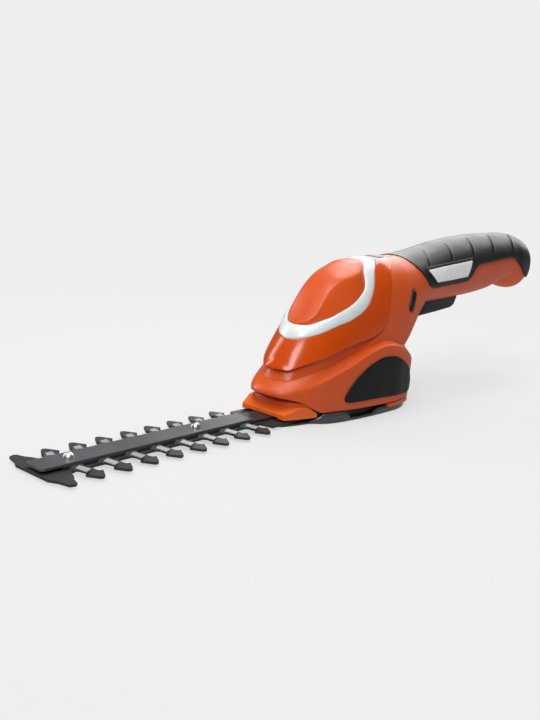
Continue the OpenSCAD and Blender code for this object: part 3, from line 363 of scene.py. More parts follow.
@dataclass
class Profile:
    """A cubic through given stations that never overshoots them."""

    pairs: Pairs | Array

    def __post_init__(self) -> None:
        """Sorts the stations and works out the slope at each."""
        table = np.asarray(self.pairs, float)
        self.x, self.v = table[np.argsort(table[:, 0])].T
        h = np.diff(self.x)
        d = np.diff(self.v) / h
        inner = np.zeros(len(self.x) - 2)
        same = d[:-1] * d[1:] > 0
        a, b = 2 * h[1:] + h[:-1], h[1:] + 2 * h[:-1]
        inner[same] = (a + b)[same] / (a[same] / d[:-1][same] + b[same] / d[1:][same])
        self.m = np.concatenate([[d[0]], inner, [d[-1]]])

    def at(self, x: Array) -> Array:
        """Reads the cubic.

        Args:
            x: Stations, of any shape.

        Returns:
            Values of the same shape.
        """
        i = np.clip(np.searchsorted(self.x, x, side="right") - 1, 0, len(self.x) - 2)
        h = self.x[i + 1] - self.x[i]
        t = (x - self.x[i]) / h
        u = 1 - t
        return (
            self.v[i] * (1 + 2 * t) * u * u
            + self.m[i] * h * t * u * u
            + self.v[i + 1] * t * t * (3 - 2 * t)
            - self.m[i + 1] * h * t * t * u
        )


def curve(points: Array, t: Array) -> Array:
    """Runs a smooth curve through all points but the first and the last, which only steer it.

    Args:
        points: Control points as rows.
        t: Places along the curve, from 0 to 1.

    Returns:
        One row for each place.
    """
    n = len(points) - 3
    far = np.asarray(t) * n
    i = np.minimum(far.astype(int), n - 1)
    u = (far - i)[..., None]
    a, b, c, d = (points[i + k] for k in range(4))
    return b + u * (c - a) / 2 + u * u * (a - 2.5 * b + 2 * c - d / 2) + u**3 * ((d - a) / 2 + 1.5 * (b - c))


def spline(points: Array, t: Array) -> Array:
    """Runs a smooth curve through points and meets its mirror image squarely at both ends.

    Args:
        points: Control points as rows; the second column is the mirrored one.
        t: Places along the curve, from 0 to 1.

    Returns:
        One row for each place.
    """
    mirrored = np.arange(points.shape[1]) == 1
    head = np.where(mirrored, 2 * points[0] - points[1], points[1])
    tail = np.where(mirrored, 2 * points[-1] - points[-2], points[-2])
    return curve(np.vstack([head, points, tail]), t)


# The main form. These two heights stand for its top and bottom centre lines.
RIDGE = 900.0
KEEL = -900.0


@dataclass
class MainForm:
    """The body's main form: rounded sections along the tool.

    A station holds its place, the heights of ridge, widest line and keel, and half of the breadth. The
    powers set how square the section is above and below the widest line; 2 is an ellipse.
    """

    stations: Sequence[tuple[float, float, float, float, float]] = (
        (50.6, 16.5, 15, 10, 3), (50, 23.5, 16.8, 10, 8.5), (49.3, 29.8, 18.3, 10, 10.3),
        (46, 36.4, 19.5, 10, 13.3), (42, 43, 20.5, 10, 16.2), (36, 51.1, 21.5, 10, 19.4),
        (28, 60.3, 22, 10, 22.2), (20, 70, 23, 10, 23.8), (15, 75.4, 23.6, 10, 24.5),
        (10, 79.2, 24.2, 10, 25), (4, 82.2, 25, 10, 25.5), (-8, 86.2, 27, 10, 26.2),
        (-22, 89.3, 30, 12, 26.7), (-36, 90.9, 34, 20, 26.9), (-50, 91.1, 45, 29.5, 26.2),
        (-58, 91.3, 53, 38.5, 24.9), (-65, 91.6, 60, 48, 23.4), (-80, 92.6, 70, 57.2, 20.8),
        (-95, 94.8, 74.5, 59.2, 19.7), (-112, 97.3, 78, 59.6, 18.9), (-146, 100.8, 81, 60.8, 18.3),
        (-175, 102.1, 83, 63.2, 18.1), (-202, 102.3, 84, 70, 18.1), (-210.5, 101.9, 83, 65, 18.7),
        (-221, 99.8, 82, 62.2, 18.3), (-228.8, 96, 81, 63.7, 15.8), (-235.8, 89.5, 80, 68.2, 11.5),
        (-239.6, 82.8, 79, 74, 5.5), (-240.2, 79.5, 79, 78.5, 0.8),
    )
    top_power: Pairs = (
        (50.6, 1.8), (42, 1.8), (36, 1.85), (28, 1.95), (20, 2), (15, 2.05), (10, 2.1), (4, 2.2), (-8, 2.3),
        (-22, 2.45), (-36, 2.6), (-50, 2.6), (-58, 2.55), (-65, 2.5), (-80, 2.4), (-95, 2.3), (-112, 2.3),
        (-146, 2.2), (-240.2, 2.2),
    )
    low_power: Pairs = (
        (50.6, 2.2), (-36, 2.2), (-50, 1.85), (-58, 1.8), (-65, 1.75), (-80, 1.8), (-95, 2), (-112, 2.2),
        (-240.2, 2.2),
    )
    slope_mm: float = 0.2
    slope_deg: float = 1.0
    most_share: float = 0.9995

    def __post_init__(self) -> None:
        """Runs the cubics through the stations."""
        table = np.asarray(self.stations, float)
        self.top, self.mid, self.low, self.half = (Profile(table[:, [0, k]]) for k in range(1, 5))
        self.top_n, self.low_n = Profile(self.top_power), Profile(self.low_power)

    def point(self, x: Array, angle: Array) -> Array:
        """Finds surface points.

        Args:
            x: Stations.
            angle: Degrees round the section: 90 is the ridge, 0 the left flank, -90 the keel.

        Returns:
            Points, with the coordinates in the last axis.
        """
        x, angle = np.broadcast_arrays(np.asarray(x, float), np.asarray(angle, float))
        s, c = np.sin(np.radians(angle)), np.cos(np.radians(angle))
        up = s >= 0
        n = np.where(up, self.top_n.at(x), self.low_n.at(x))
        mid = self.mid.at(x)
        h = np.where(up, self.top.at(x) - mid, mid - self.low.at(x))
        y = np.sign(c) * self.half.at(x) * np.abs(c) ** (2 / n)
        return np.stack([x, y, mid + np.sign(s) * h * np.abs(s) ** (2 / n)], -1)

    def spot(self, uv: Array) -> Array:
        """Finds the surface points of a grid of stations and angles."""
        return self.point(uv[..., 0], uv[..., 1])

    def normal(self, x: Array, angle: Array) -> Array:
        """Finds outward unit normals.

        Args:
            x: Stations.
            angle: Degrees round the section.

        Returns:
            Unit vectors, with the coordinates in the last axis.
        """
        along = self.point(x + self.slope_mm, angle) - self.point(x - self.slope_mm, angle)
        across = self.point(x, angle + self.slope_deg) - self.point(x, angle - self.slope_deg)
        return unit(np.cross(across, along))

    def angle_at(self, x: Array, z: Array) -> Array:
        """Finds the angle of a height on the left flank.

        Args:
            x: Stations.
            z: Heights; RIDGE and KEEL stand for the top and bottom centre lines.

        Returns:
            Angles in degrees.
        """
        x, z = np.broadcast_arrays(np.asarray(x, float), np.asarray(z, float))
        mid = self.mid.at(x)
        d = z - mid
        n = np.where(d >= 0, self.top_n.at(x), self.low_n.at(x))
        h = np.where(d >= 0, self.top.at(x) - mid, mid - self.low.at(x))
        share = np.minimum(self.most_share, np.abs(d) / h)
        found = np.sign(d) * np.degrees(np.arcsin(share ** (n / 2)))
        return np.where(z >= RIDGE, 90.0, np.where(z <= KEEL, -90.0, found))

    def edge(self, pairs: Pairs) -> Array:
        """Turns station and height pairs on the left flank into rows of station and angle."""
        table = np.asarray(pairs, float)
        return np.stack([table[:, 0], self.angle_at(table[:, 0], table[:, 1])], -1)

    def lifted(self, uv: Array, lift: Array) -> Array:
        """Places a grid of stations and angles a given height off the surface."""
        return self.spot(uv) + np.asarray(lift)[..., None] * self.normal(uv[..., 0], uv[..., 1])

    def breadth(self, first: Array, last: Array, steps: int = 1) -> Array:
        """Measures the way between two edges over the surface.

        Args:
            first: Stations and angles of one edge.
            last: Stations and angles of the other.
            steps: Straight steps that the way is measured in.

        Returns:
            One length for each column.
        """
        share = np.broadcast_to(np.linspace(0, 1, steps + 1)[:, None], (steps + 1, len(first)))
        way = np.diff(self.spot(between(first, last, share)), axis=0)
        return np.linalg.norm(way, axis=-1).sum(0)


FORM = MainForm()


# Meshes


def grid_faces(rows: int, cols: int, wrap: bool) -> list[tuple[int, int, int, int]]:
    """Lists the four-sided faces of a grid.

    Args:
        rows: Rows of points.
        cols: Points in a row.
        wrap: Whether the last column joins the first.

    Returns:
        Point numbers of each face.
    """
    i, j = np.meshgrid(np.arange(rows - 1), np.arange(cols if wrap else cols - 1), indexing="ij")
    k = (j + 1) % cols
    quads = np.stack([i * cols + j, i * cols + k, (i + 1) * cols + k, (i + 1) * cols + j], -1)
    return [tuple(q) for q in quads.reshape(-1, 4).tolist()]


@dataclass
class Piece:
    """What every visible piece needs: a mesh, a finish, a body and the CAD nodes it stands for."""

    name: str
    finish: Finish
    slot: str
    stands_for: Sequence[str] = ()
    body: Body = Body.HOUSING
    sharp_deg: float = 40.0

    def from_mesh(self, points: Array, faces: Sequence[Sequence[int]]) -> bpy.types.Object:
        """Makes the object.

        Args:
            points: Points in millimetres.
            faces: Point numbers of each face.

        Returns:
            The new object, dressed and riding its body.
        """
        mesh = bpy.data.meshes.new(self.name)
        mesh.from_pydata((np.asarray(points).reshape(-1, 3) * MM).tolist(), [], faces)
        mesh.validate()
        mesh.polygons.foreach_set("use_smooth", [True] * len(mesh.polygons))
        mesh.set_sharp_from_angle(angle=math.radians(self.sharp_deg))
        thing = bpy.data.objects.new(self.name, mesh)
        bpy.context.scene.collection.objects.link(thing)
        mesh.materials.append(self.finish.build())
        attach(thing, self.body.value)
        if self.stands_for:
            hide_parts(*self.stands_for)
        LOG.info("%s: %d points", self.name, len(mesh.vertices))
        return thing

    def from_grid(self, grid: Array, wrap: bool = False, flip: bool = False) -> bpy.types.Object:
        """Makes the object from rows of points, closed on themselves or turned over where asked."""
        faces = grid_faces(grid.shape[0], grid.shape[1], wrap)
        return self.from_mesh(grid, [f[::-1] for f in faces] if flip else faces)


EDGE_TURN_DEG = (0.0, 25.0, 50.0, 70.0, 90.0)


def edge_rows(
    width: Array, radii: tuple[float, float], middle: int, gap: float, foot: float
) -> tuple[Array, Array]:
    """Lays out the rows of a panel with rounded edges and sunk feet.

    Args:
        width: Breadth of the panel in each column.
        radii: Radii along its first and last edge.
        middle: Rows between the two radii.
        gap: Distance kept from both outlines.
        foot: Depth of the feet below the face.

    Returns:
        Shares of the breadth, a row for each row of the panel, and the drop of each row below the face.
    """
    turn = np.radians(EDGE_TURN_DEG)
    first, last = (r * (1 - np.cos(turn)) for r in radii)
    low = (gap + first)[:, None] / width[None]
    high = 1 - (gap + last[::-1])[:, None] / width[None]
    steps = np.linspace(0, 1, middle + 2)[1:-1, None]
    inner = low[-1] + steps * (high[0] - low[-1])
    share = np.vstack([low[:1], low, inner, high, high[-1:]])
    rise, fall = (r * (1 - np.sin(turn)) for r in radii)
    return share, -np.concatenate([[foot], rise, np.zeros(middle), fall[::-1], [foot]])


def both_sides(uv: Array) -> Array:
    """Closes a half grid of stations and angles with its mirror image.

    Args:
        uv: Columns from the front centre line to the rear centre line.

    Returns:
        The whole ring of columns.
    """
    other = uv[:, -2:0:-1].copy()
    other[..., 1] = 180 - other[..., 1]
    return np.concatenate([uv, other], axis=1)


RING_EASE = 0.45


def ring_steps(count: int) -> Array:
    """Spaces columns along a half ring, from 0 to 1, closer where it crosses the centre line."""
    even = np.linspace(0, 1, count + 1)
    return even + (closer_ends(count + 1) - even) * RING_EASE


def slab(outline: Array, half: float, radius: float, steps: int = 7) -> tuple[Array, list[tuple[int, ...]]]:
    """Extrudes a closed outline across a middle plane with rounded edges.

    Args:
        outline: Points of the outline, in order.
        half: Half of the breadth.
        radius: Radius along both edges.
        steps: Layers round each edge.

    Returns:
        Points with the breadth in the last coordinate, and faces.
    """
    ahead = np.roll(outline, -1, 0)
    run = ahead - np.roll(outline, 1, 0)
    area = np.sum(outline[:, 0] * ahead[:, 1] - ahead[:, 0] * outline[:, 1])
    normal = unit(np.stack([run[:, 1], -run[:, 0]], -1)) * math.copysign(1, area)
    turn = np.linspace(0, math.pi / 2, steps)
    rim = [(half - radius * (1 - math.sin(a)), radius * (1 - math.cos(a))) for a in turn]
    layers = [(-z, inset) for z, inset in rim[::-1]] + rim
    middle = outline.mean(0)
    caps = np.array([[*middle, layers[0][0]], [*middle, layers[-1][0]]])
    points = np.vstack([at_height(outline - normal * inset, z) for z, inset in layers] + [caps])
    n, last = len(outline), (len(layers) - 1) * len(outline)
    faces: list[tuple[int, ...]] = list(grid_faces(len(layers), n, True))
    faces += [(last + n, (k + 1) % n, k) for k in range(n)]
    faces += [(last + n + 1, last + k, last + (k + 1) % n) for k in range(n)]
    return points, faces if area > 0 else [f[::-1] for f in faces]


def rounded_outline(points: Pairs, per_corner: int, radius: float, most_share: float = 0.45) -> Array:
    """Rounds the corners of an outline.

    Args:
        points: Corners, in order.
        per_corner: Points along each rounded corner.
        radius: Largest distance from a corner at which its rounding starts.
        most_share: Largest share of a side that a rounding takes.

    Returns:
        The rounded outline.
    """
    p = np.asarray(points, float)
    out = []
    for a, b, c in zip(np.roll(p, 1, 0), p, np.roll(p, -1, 0)):
        start, end = (b + unit(s) * min(radius, most_share * np.linalg.norm(s)) for s in (a - b, c - b))
        out += [bend(start, b, end, f) for f in np.linspace(0, 1, per_corner)]
    return np.array(out)


# Lines that several pieces share, from the front centre line to the rear one

# Lower edge of the gloss cover.
PARTING = FORM.edge(
    [(49.3, RIDGE), (48, 30.2), (43.5, 31.8), (30, 37.1), (10, 43.4), (-10.6, 47.4), (-21.1, 52),
     (-26.8, 60), (-31.1, 74.5), (-36.3, 84), (-47, RIDGE)]
)
# Outer and inner edge of the bright band.
BAND_OUT = FORM.edge(
    [(39.4, RIDGE), (37.5, 47.4), (33, 49), (24, 52.5), (11, 57.1), (0, 61.2), (-7.4, 65.5), (-12, 70.2),
     (-16, 75.7), (-21.5, 83.7), (-33.8, RIDGE)]
)
BAND_IN = FORM.edge(
    [(33, RIDGE), (31.3, 55), (27.5, 56.5), (19, 60.4), (9.7, 64.7), (1.5, 68.6), (-5, 72.7), (-8.4, 75.6),
     (-10.8, 79.1), (-14.4, 84.6), (-22.4, RIDGE)]
)
# The line where the body goes into the lower shell's ledge.
SHOULDER_GUIDE = FORM.edge(
    [(49.95, RIDGE), (49.55, 24.25), (48.2, 24.6), (44, 26.3), (30, 30.8), (10, 36.6), (-9, 42.4),
     (-22, 44.9), (-34, 42.8), (-48, 37.8), (-60.5, KEEL)]
)
# Closer places keep the arch round where the body turns into the neck.
ARCH = FORM.edge(
    [(-25.1, 44.8), (-28.2, 44.4), (-31.1, 43.8), (-34.2, 43), (-37.5, 41.9), (-41, 40.7), (-44.5, 39.6),
     (-48.2, 38.9), (-52.1, 38.7)]
)
ARCH_FIRST = 29
SHOULDER_COUNT = 41
SHOULDER = spline(SHOULDER_GUIDE, np.linspace(0, 1, SHOULDER_COUNT))
SHOULDER[ARCH_FIRST : ARCH_FIRST + len(ARCH)] = ARCH
# The lower shell's widest line: a place, and the height of its lower edge.
WALL = np.array(
    [(56.2, 0, 19, 16), (54.8, 8, 19, 15.8), (50.2, 14.2, 19.2, 15), (42, 19.2, 20.8, 12.4),
     (30, 23.8, 25, 6.5), (12, 28.1, 32.6, 6.5), (-4, 30.8, 39.8, 6.5), (-21, 32.6, 43.1, 6.5),
     (-37, 32.8, 39.7, 6.5), (-55.5, 26.6, 29.6, 6.5), (-69, 0, 24, 6.5)],
    float,
)
# The foot of the recessed skirt, as far back as the skirt goes.
SKIRT_FOOT = np.array(
    [(49.4, 0, 23.7), (48.2, 5.4, 24), (43.6, 11.4, 25.4), (29.5, 17.6, 30.1), (9.5, 21.2, 36.6),
     (-9.5, 24, 42.2), (-22, 26.2, 44.7), (-34, 26.6, 42.8)],
    float,
)
SKIRT_END = 0.7
SKIRT_FADE = 0.34


def skirt_line(t: Array) -> Array:
    """Reads the skirt's foot at places along the shoulder."""
    return spline(SKIRT_FOOT, np.clip(t / SKIRT_END, 0, 1))


def skirt_share(t: Array) -> Array:
    """Finds how far the skirt replaces the main form: wholly at the front, not at all at the neck."""
    return ease((SKIRT_END - t) / SKIRT_FADE)


@dataclass(frozen=True)
class LockOffPlace:
    """Where the lock-off button lies on both flanks, and its round-ended outline."""

    at: tuple[float, float] = (-53.0, 67.0)
    tilt_deg: float = 26.0
    half: float = 2.5
    straight: float = 4.6
    clearance: float = 0.35


LOCK = LockOffPlace()


# Sub-assemblies


@dataclass
class HousingHalves:
    """The two moulded halves of body and handle, with the trigger slot and the lock-off recess.

    A row runs from the upper edge of a half to its lower edge. A pair of handle_rows is a station and the
    spacing of the rows behind it, and row_slant shifts the lower ends of the rows along the handle.
    """

    seam_mm: float = 0.06
    seam_r: float = 0.22
    wall_mm: float = 2.4
    across_points: int = 96
    way_steps: int = 8
    front_rows: tuple[int, int] = (70, 90)
    handle_rows: Pairs = (
        (-47.6, 0.6), (-78, 0.25), (-84, 1.2), (-142, 0.25), (-147, 1.4), (-220, 0.6), (-238, 0.15),
    )
    handle_end: float = -239.5
    row_slant: Pairs = ((-240, 0), (-103, 0), (-90, -1.5), (-76, -5.8), (-63, -11), (-47, -13.5))
    slot_half: float = 8.8
    slot_ends: tuple[float, float] = (-145.5, -81.8)
    slot_corner: float = 4.0
    slot_most_share: float = 0.999
    recess_mm: float = 2.2
    recess_edge: float = 0.35
    skirt_mm: float = 2.6
    screw_at: Pairs = ((-60, 80), (-62, 57), (-162, 67.5), (-212, 67.7))
    screw_r: float = 3.0
    well_mm: float = 36.0
    well_y: float = -25.0
    well_sides: int = 48

    @property
    def front_t(self) -> Array:
        """Places of the front rows along the parting line and the shoulder."""
        skirt = np.linspace(0, SKIRT_END, self.front_rows[0], endpoint=False)
        return np.concatenate([skirt, np.linspace(SKIRT_END, 1, self.front_rows[1])])

    def rows(self) -> tuple[Array, Array]:
        """Finds the upper and lower ends of every row, front to rear.

        Returns:
            Stations and angles of the upper ends and of the lower ends.
        """
        t = self.front_t
        starts, steps = zip(*self.handle_rows)
        stops = (*starts[1:], self.handle_end)
        x = np.concatenate([np.arange(a, b, -step) for a, b, step in zip(starts, stops, steps)])
        below = x + Profile(self.row_slant).at(x)
        inside = np.minimum(below - self.slot_ends[0], self.slot_ends[1] - below)
        rise = np.clip(1 - inside / self.slot_corner, 0, 1)
        opening = np.where(inside > 0, self.slot_half * np.sqrt(1 - rise**2), 0.0)
        share = np.minimum(self.slot_most_share, opening / FORM.half.at(below)) ** (FORM.low_n.at(below) / 2)
        upper = np.concatenate([spline(PARTING, t), np.stack([x, np.full_like(x, 90.0)], -1)])
        lower = np.concatenate([spline(SHOULDER, t), np.stack([below, -np.degrees(np.arccos(share))], -1)])
        return upper, lower

    def skirt(self, out: Array, share: Array, upper: Array, lift: Array) -> Array:
        """Draws the front rows in to the recessed skirt under the cover's lower edge.

        Args:
            out: Points of the main form.
            share: Places across each row, upper end to lower end.
            upper: Stations and angles of the upper ends.
            lift: Height of each point off the face.

        Returns:
            The points with the skirt drawn in.
        """
        t = self.front_t
        n = len(t)
        head = FORM.lifted(upper[:n], np.full(n, -self.skirt_mm))
        across = np.clip(share[:, :n], 0, 1)[..., None]
        back = 1 - t
        inward = np.stack([-back, -np.sqrt(1 - back**2), np.zeros(n)], -1)
        ruled = head + across * (skirt_line(t) - head) - np.minimum(lift[:, :n], 0)[..., None] * inward
        f = skirt_share(t)[None, :, None]
        out[:, :n] = f * ruled + (1 - f) * out[:, :n]
        return out

    def recess(self, points: Array) -> Array:
        """Finds how deep the lock-off recess is at each point.

        Args:
            points: Points on the housing.

        Returns:
            Depths.
        """
        a = math.radians(LOCK.tilt_deg)
        x, z = points[..., 0] - LOCK.at[0], points[..., 2] - LOCK.at[1]
        along = -x * math.sin(a) + z * math.cos(a)
        aside = x * math.cos(a) + z * math.sin(a)
        far = np.hypot(aside, np.maximum(np.abs(along) - LOCK.straight, 0)) - LOCK.half - LOCK.clearance
        return self.recess_mm * ease((self.recess_edge - far) / (2 * self.recess_edge))

    def grid(self) -> Array:
        """Builds the outer face of the left half.

        Returns:
            Rows of points, each from the upper edge to the lower edge.
        """
        upper, lower = self.rows()
        width = FORM.breadth(upper, lower, self.way_steps)
        share, drop = edge_rows(width, (self.seam_r, self.seam_r), self.across_points, 0.0, self.wall_mm)
        uv = between(upper, lower, share)
        lift = np.broadcast_to(drop[:, None], share.shape)
        out = self.skirt(FORM.lifted(uv, lift - self.recess(FORM.spot(uv))), share, upper, lift)
        out[..., 1] = np.maximum(out[..., 1] + self.seam_mm, self.seam_mm)
        return np.moveaxis(out, 0, 1)

    def build(self) -> None:
        """Builds both halves."""
        grid = self.grid()
        for side, node in ((Side.LEFT, "housing_left"), (Side.RIGHT, "housing_right")):
            piece = Piece(f"{side.name.lower()}_housing_half", HOUSING_ABS, "housing_orange", [node])
            half = piece.from_grid(grid * np.array([1, side.value, 1]), flip=side is Side.RIGHT)
            if side is Side.RIGHT:
                self.pierce(half)

    def pierce(self, half: bpy.types.Object) -> None:
        """Cuts the screw wells.

        Args:
            half: The right housing half.
        """
        for x, z in self.screw_at:
            bpy.ops.mesh.primitive_cylinder_add(
                vertices=self.well_sides,
                radius=self.screw_r * MM,
                depth=self.well_mm * MM,
                location=(x * MM, self.well_y * MM, z * MM),
                rotation=(math.pi / 2, 0, 0),
            )
            cutter = bpy.context.object
            well = half.modifiers.new("well", "BOOLEAN")
            well.operation = "DIFFERENCE"
            well.solver = "EXACT"
            well.object = cutter
            bpy.context.view_layer.objects.active = half
            bpy.ops.object.modifier_apply(modifier="well")
            bpy.data.objects.remove(cutter)


@dataclass
class NoseTrim:
    """Gloss cover, bright band, crown and light pane of the nose.

    crown_rise is the crown's height along the nose, and crease the distance of its two creases from the
    middle line.
    """

    columns: int = 110
    cover_lift: float = 0.55
    cover_radii: tuple[float, float] = (0.6, 0.25)
    cover_gap: float = 0.15
    cover_foot: float = 3.6
    cover_rows: int = 24
    band_proud: float = 1.2
    band_radii: tuple[float, float] = (0.3, 0.3)
    band_gap: float = 0.1
    band_foot: float = 2.2
    band_rows: int = 16
    crown_rise: Pairs = (
        (-22.4, 1), (-17, 2.3), (-12, 3), (-5, 3), (5, 2.7), (15, 2.3), (24, 1.8), (33, 0.6),
    )
    crown_edge: float = 0.3
    crown_foot: float = 2.0
    crown_step: float = 0.15
    crown_gap_share: float = 0.004
    crown_rows: int = 90
    rim_points: int = 300
    crown_row_power: float = 1.2
    crown_mid_x: float = 3.0
    crown_mid_share: float = 0.35
    crease: Pairs = (
        (-22.4, 2), (-18, 6), (-12, 10.4), (-8, 11.6), (-3, 11.5), (7, 9.3), (15, 8.5), (25, 9), (33, 8),
    )
    crease_most_share: float = 0.72
    crease_least: float = 0.4
    crease_sharp: float = 9.0
    flank_least: float = 0.5
    flank_most_share: float = 1.6
    flank_power: float = 1.5
    pane_ends: tuple[float, float] = (-37.8, -44.2)
    pane_half: float = 5.0
    pane_points: tuple[int, int] = (14, 22)
    pane_proud: float = 0.55
    pane_fall: float = 1.6
    pane_power: float = 14

    def ring(
        self, first: Array, last: Array, radii: tuple[float, float], middle: int, gap: float, foot: float
    ) -> tuple[Array, Array, Array]:
        """Lays a ring panel between two edges.

        Args:
            first: Control points of the outer edge.
            last: Control points of the inner edge.
            radii: Radii along the two edges.
            middle: Rows between the radii.
            gap: Distance kept from both edges.
            foot: Depth of the feet below the face.

        Returns:
            The grid of stations and angles, the shares across it and the drop of each row.
        """
        t = ring_steps(self.columns)
        a, b = spline(first, t), spline(last, t)
        share, drop = edge_rows(FORM.breadth(a, b), radii, middle, gap, foot)
        around = np.concatenate([share, share[:, -2:0:-1]], axis=1)
        return both_sides(between(a, b, share)), around, drop[:, None]

    def build(self) -> None:
        """Builds the four pieces."""
        self.build_cover()
        self.build_band()
        self.build_crown()
        self.build_pane()

    def build_cover(self) -> None:
        """Builds the gloss cover between the parting line and the band."""
        uv, _, drop = self.ring(
            PARTING, BAND_OUT, self.cover_radii, self.cover_rows, self.cover_gap, self.cover_foot
        )
        grid = FORM.lifted(uv, np.broadcast_to(drop + self.cover_lift, uv.shape[:2]))
        Piece("cover_panel", COVER_ABS, "cover_orange", ["nose_cover"]).from_grid(grid, wrap=True)

    def build_band(self) -> None:
        """Builds the rounded band."""
        uv, share, drop = self.ring(
            BAND_OUT, BAND_IN, self.band_radii, self.band_rows, self.band_gap, self.band_foot
        )
        bulge = self.band_proud * np.sqrt(np.clip(1 - (2 * share - 1) ** 2, 0, 1))
        grid = FORM.lifted(uv, bulge + np.where(drop == -self.band_foot, drop, 0))
        band = Piece("bright_band", SATIN_PLATE, "bright_trim", ["trim_band"], sharp_deg=60)
        band.from_grid(grid, wrap=True)

    def crown_lift(self, points: Array) -> Array:
        """Finds how far the crown stands off the main form: highest along its two creases.

        Args:
            points: Points on the main form.

        Returns:
            Heights.
        """
        rim = FORM.spot(spline(BAND_IN, np.linspace(0, 1, self.rim_points)))
        x, y = points[..., 0], np.abs(points[..., 1])
        side = across_at(rim, x)
        crease = np.minimum(Profile(self.crease).at(x), self.crease_most_share * side + self.crease_least)
        top = self.crown_mid_share + (1 - self.crown_mid_share) * (y / crease) ** 2
        flank = np.clip((side - y) / np.maximum(side - crease, self.flank_least), 0, self.flank_most_share)
        steep = np.exp(-self.crease_sharp * top) + np.exp(-self.crease_sharp * flank**self.flank_power)
        blend = -np.log(steep) / self.crease_sharp
        return self.crown_edge + Profile(self.crown_rise).at(x) * np.maximum(blend, 0)

    def build_crown(self) -> None:
        """Builds the creased crown inside the band."""
        edge = spline(BAND_IN, ring_steps(self.columns))
        gap = self.crown_gap_share
        inner = gap + (1 - gap) * np.linspace(0, 1, self.crown_rows) ** self.crown_row_power
        steps = np.concatenate([[gap, gap], inner[:-1]])
        mid = np.array([[self.crown_mid_x, 90.0]])
        uv = both_sides(edge[None] + steps[:, None, None] * (mid - edge)[None])
        lift = self.crown_lift(FORM.spot(uv))
        lift[0] = -self.crown_foot
        lift[1] -= self.crown_step
        grid = FORM.lifted(uv, lift)
        rows, cols = grid.shape[:2]
        points = np.vstack([grid.reshape(-1, 3), FORM.lifted(mid, self.crown_lift(FORM.spot(mid)))])
        last = (rows - 1) * cols
        fan = [(last + j, last + (j + 1) % cols, rows * cols) for j in range(cols)]
        crown = Piece("crown_dome", HOUSING_ABS, "housing_orange", ["crown_insert"])
        crown.from_mesh(points, grid_faces(rows, cols, True) + fan)

    def build_pane(self) -> None:
        """Builds the light pane on the cover."""
        u, v = np.meshgrid(*(np.linspace(-1, 1, n) for n in self.pane_points), indexing="ij")
        front, rear = self.pane_ends
        x, y = (front + rear) / 2 + u * (rear - front) / 2, v * self.pane_half
        angle = np.degrees(np.arccos((np.abs(y) / FORM.half.at(x)) ** (FORM.top_n.at(x) / 2)))
        uv = np.stack([x, np.where(y < 0, 180 - angle, angle)], -1)
        fall = self.pane_fall * np.maximum(np.abs(u), np.abs(v)) ** self.pane_power
        grid = FORM.lifted(uv, self.cover_lift + self.pane_proud - fall)
        Piece("light_pane", PANE, "light_pane", ["led_lens"]).from_grid(grid, flip=True)


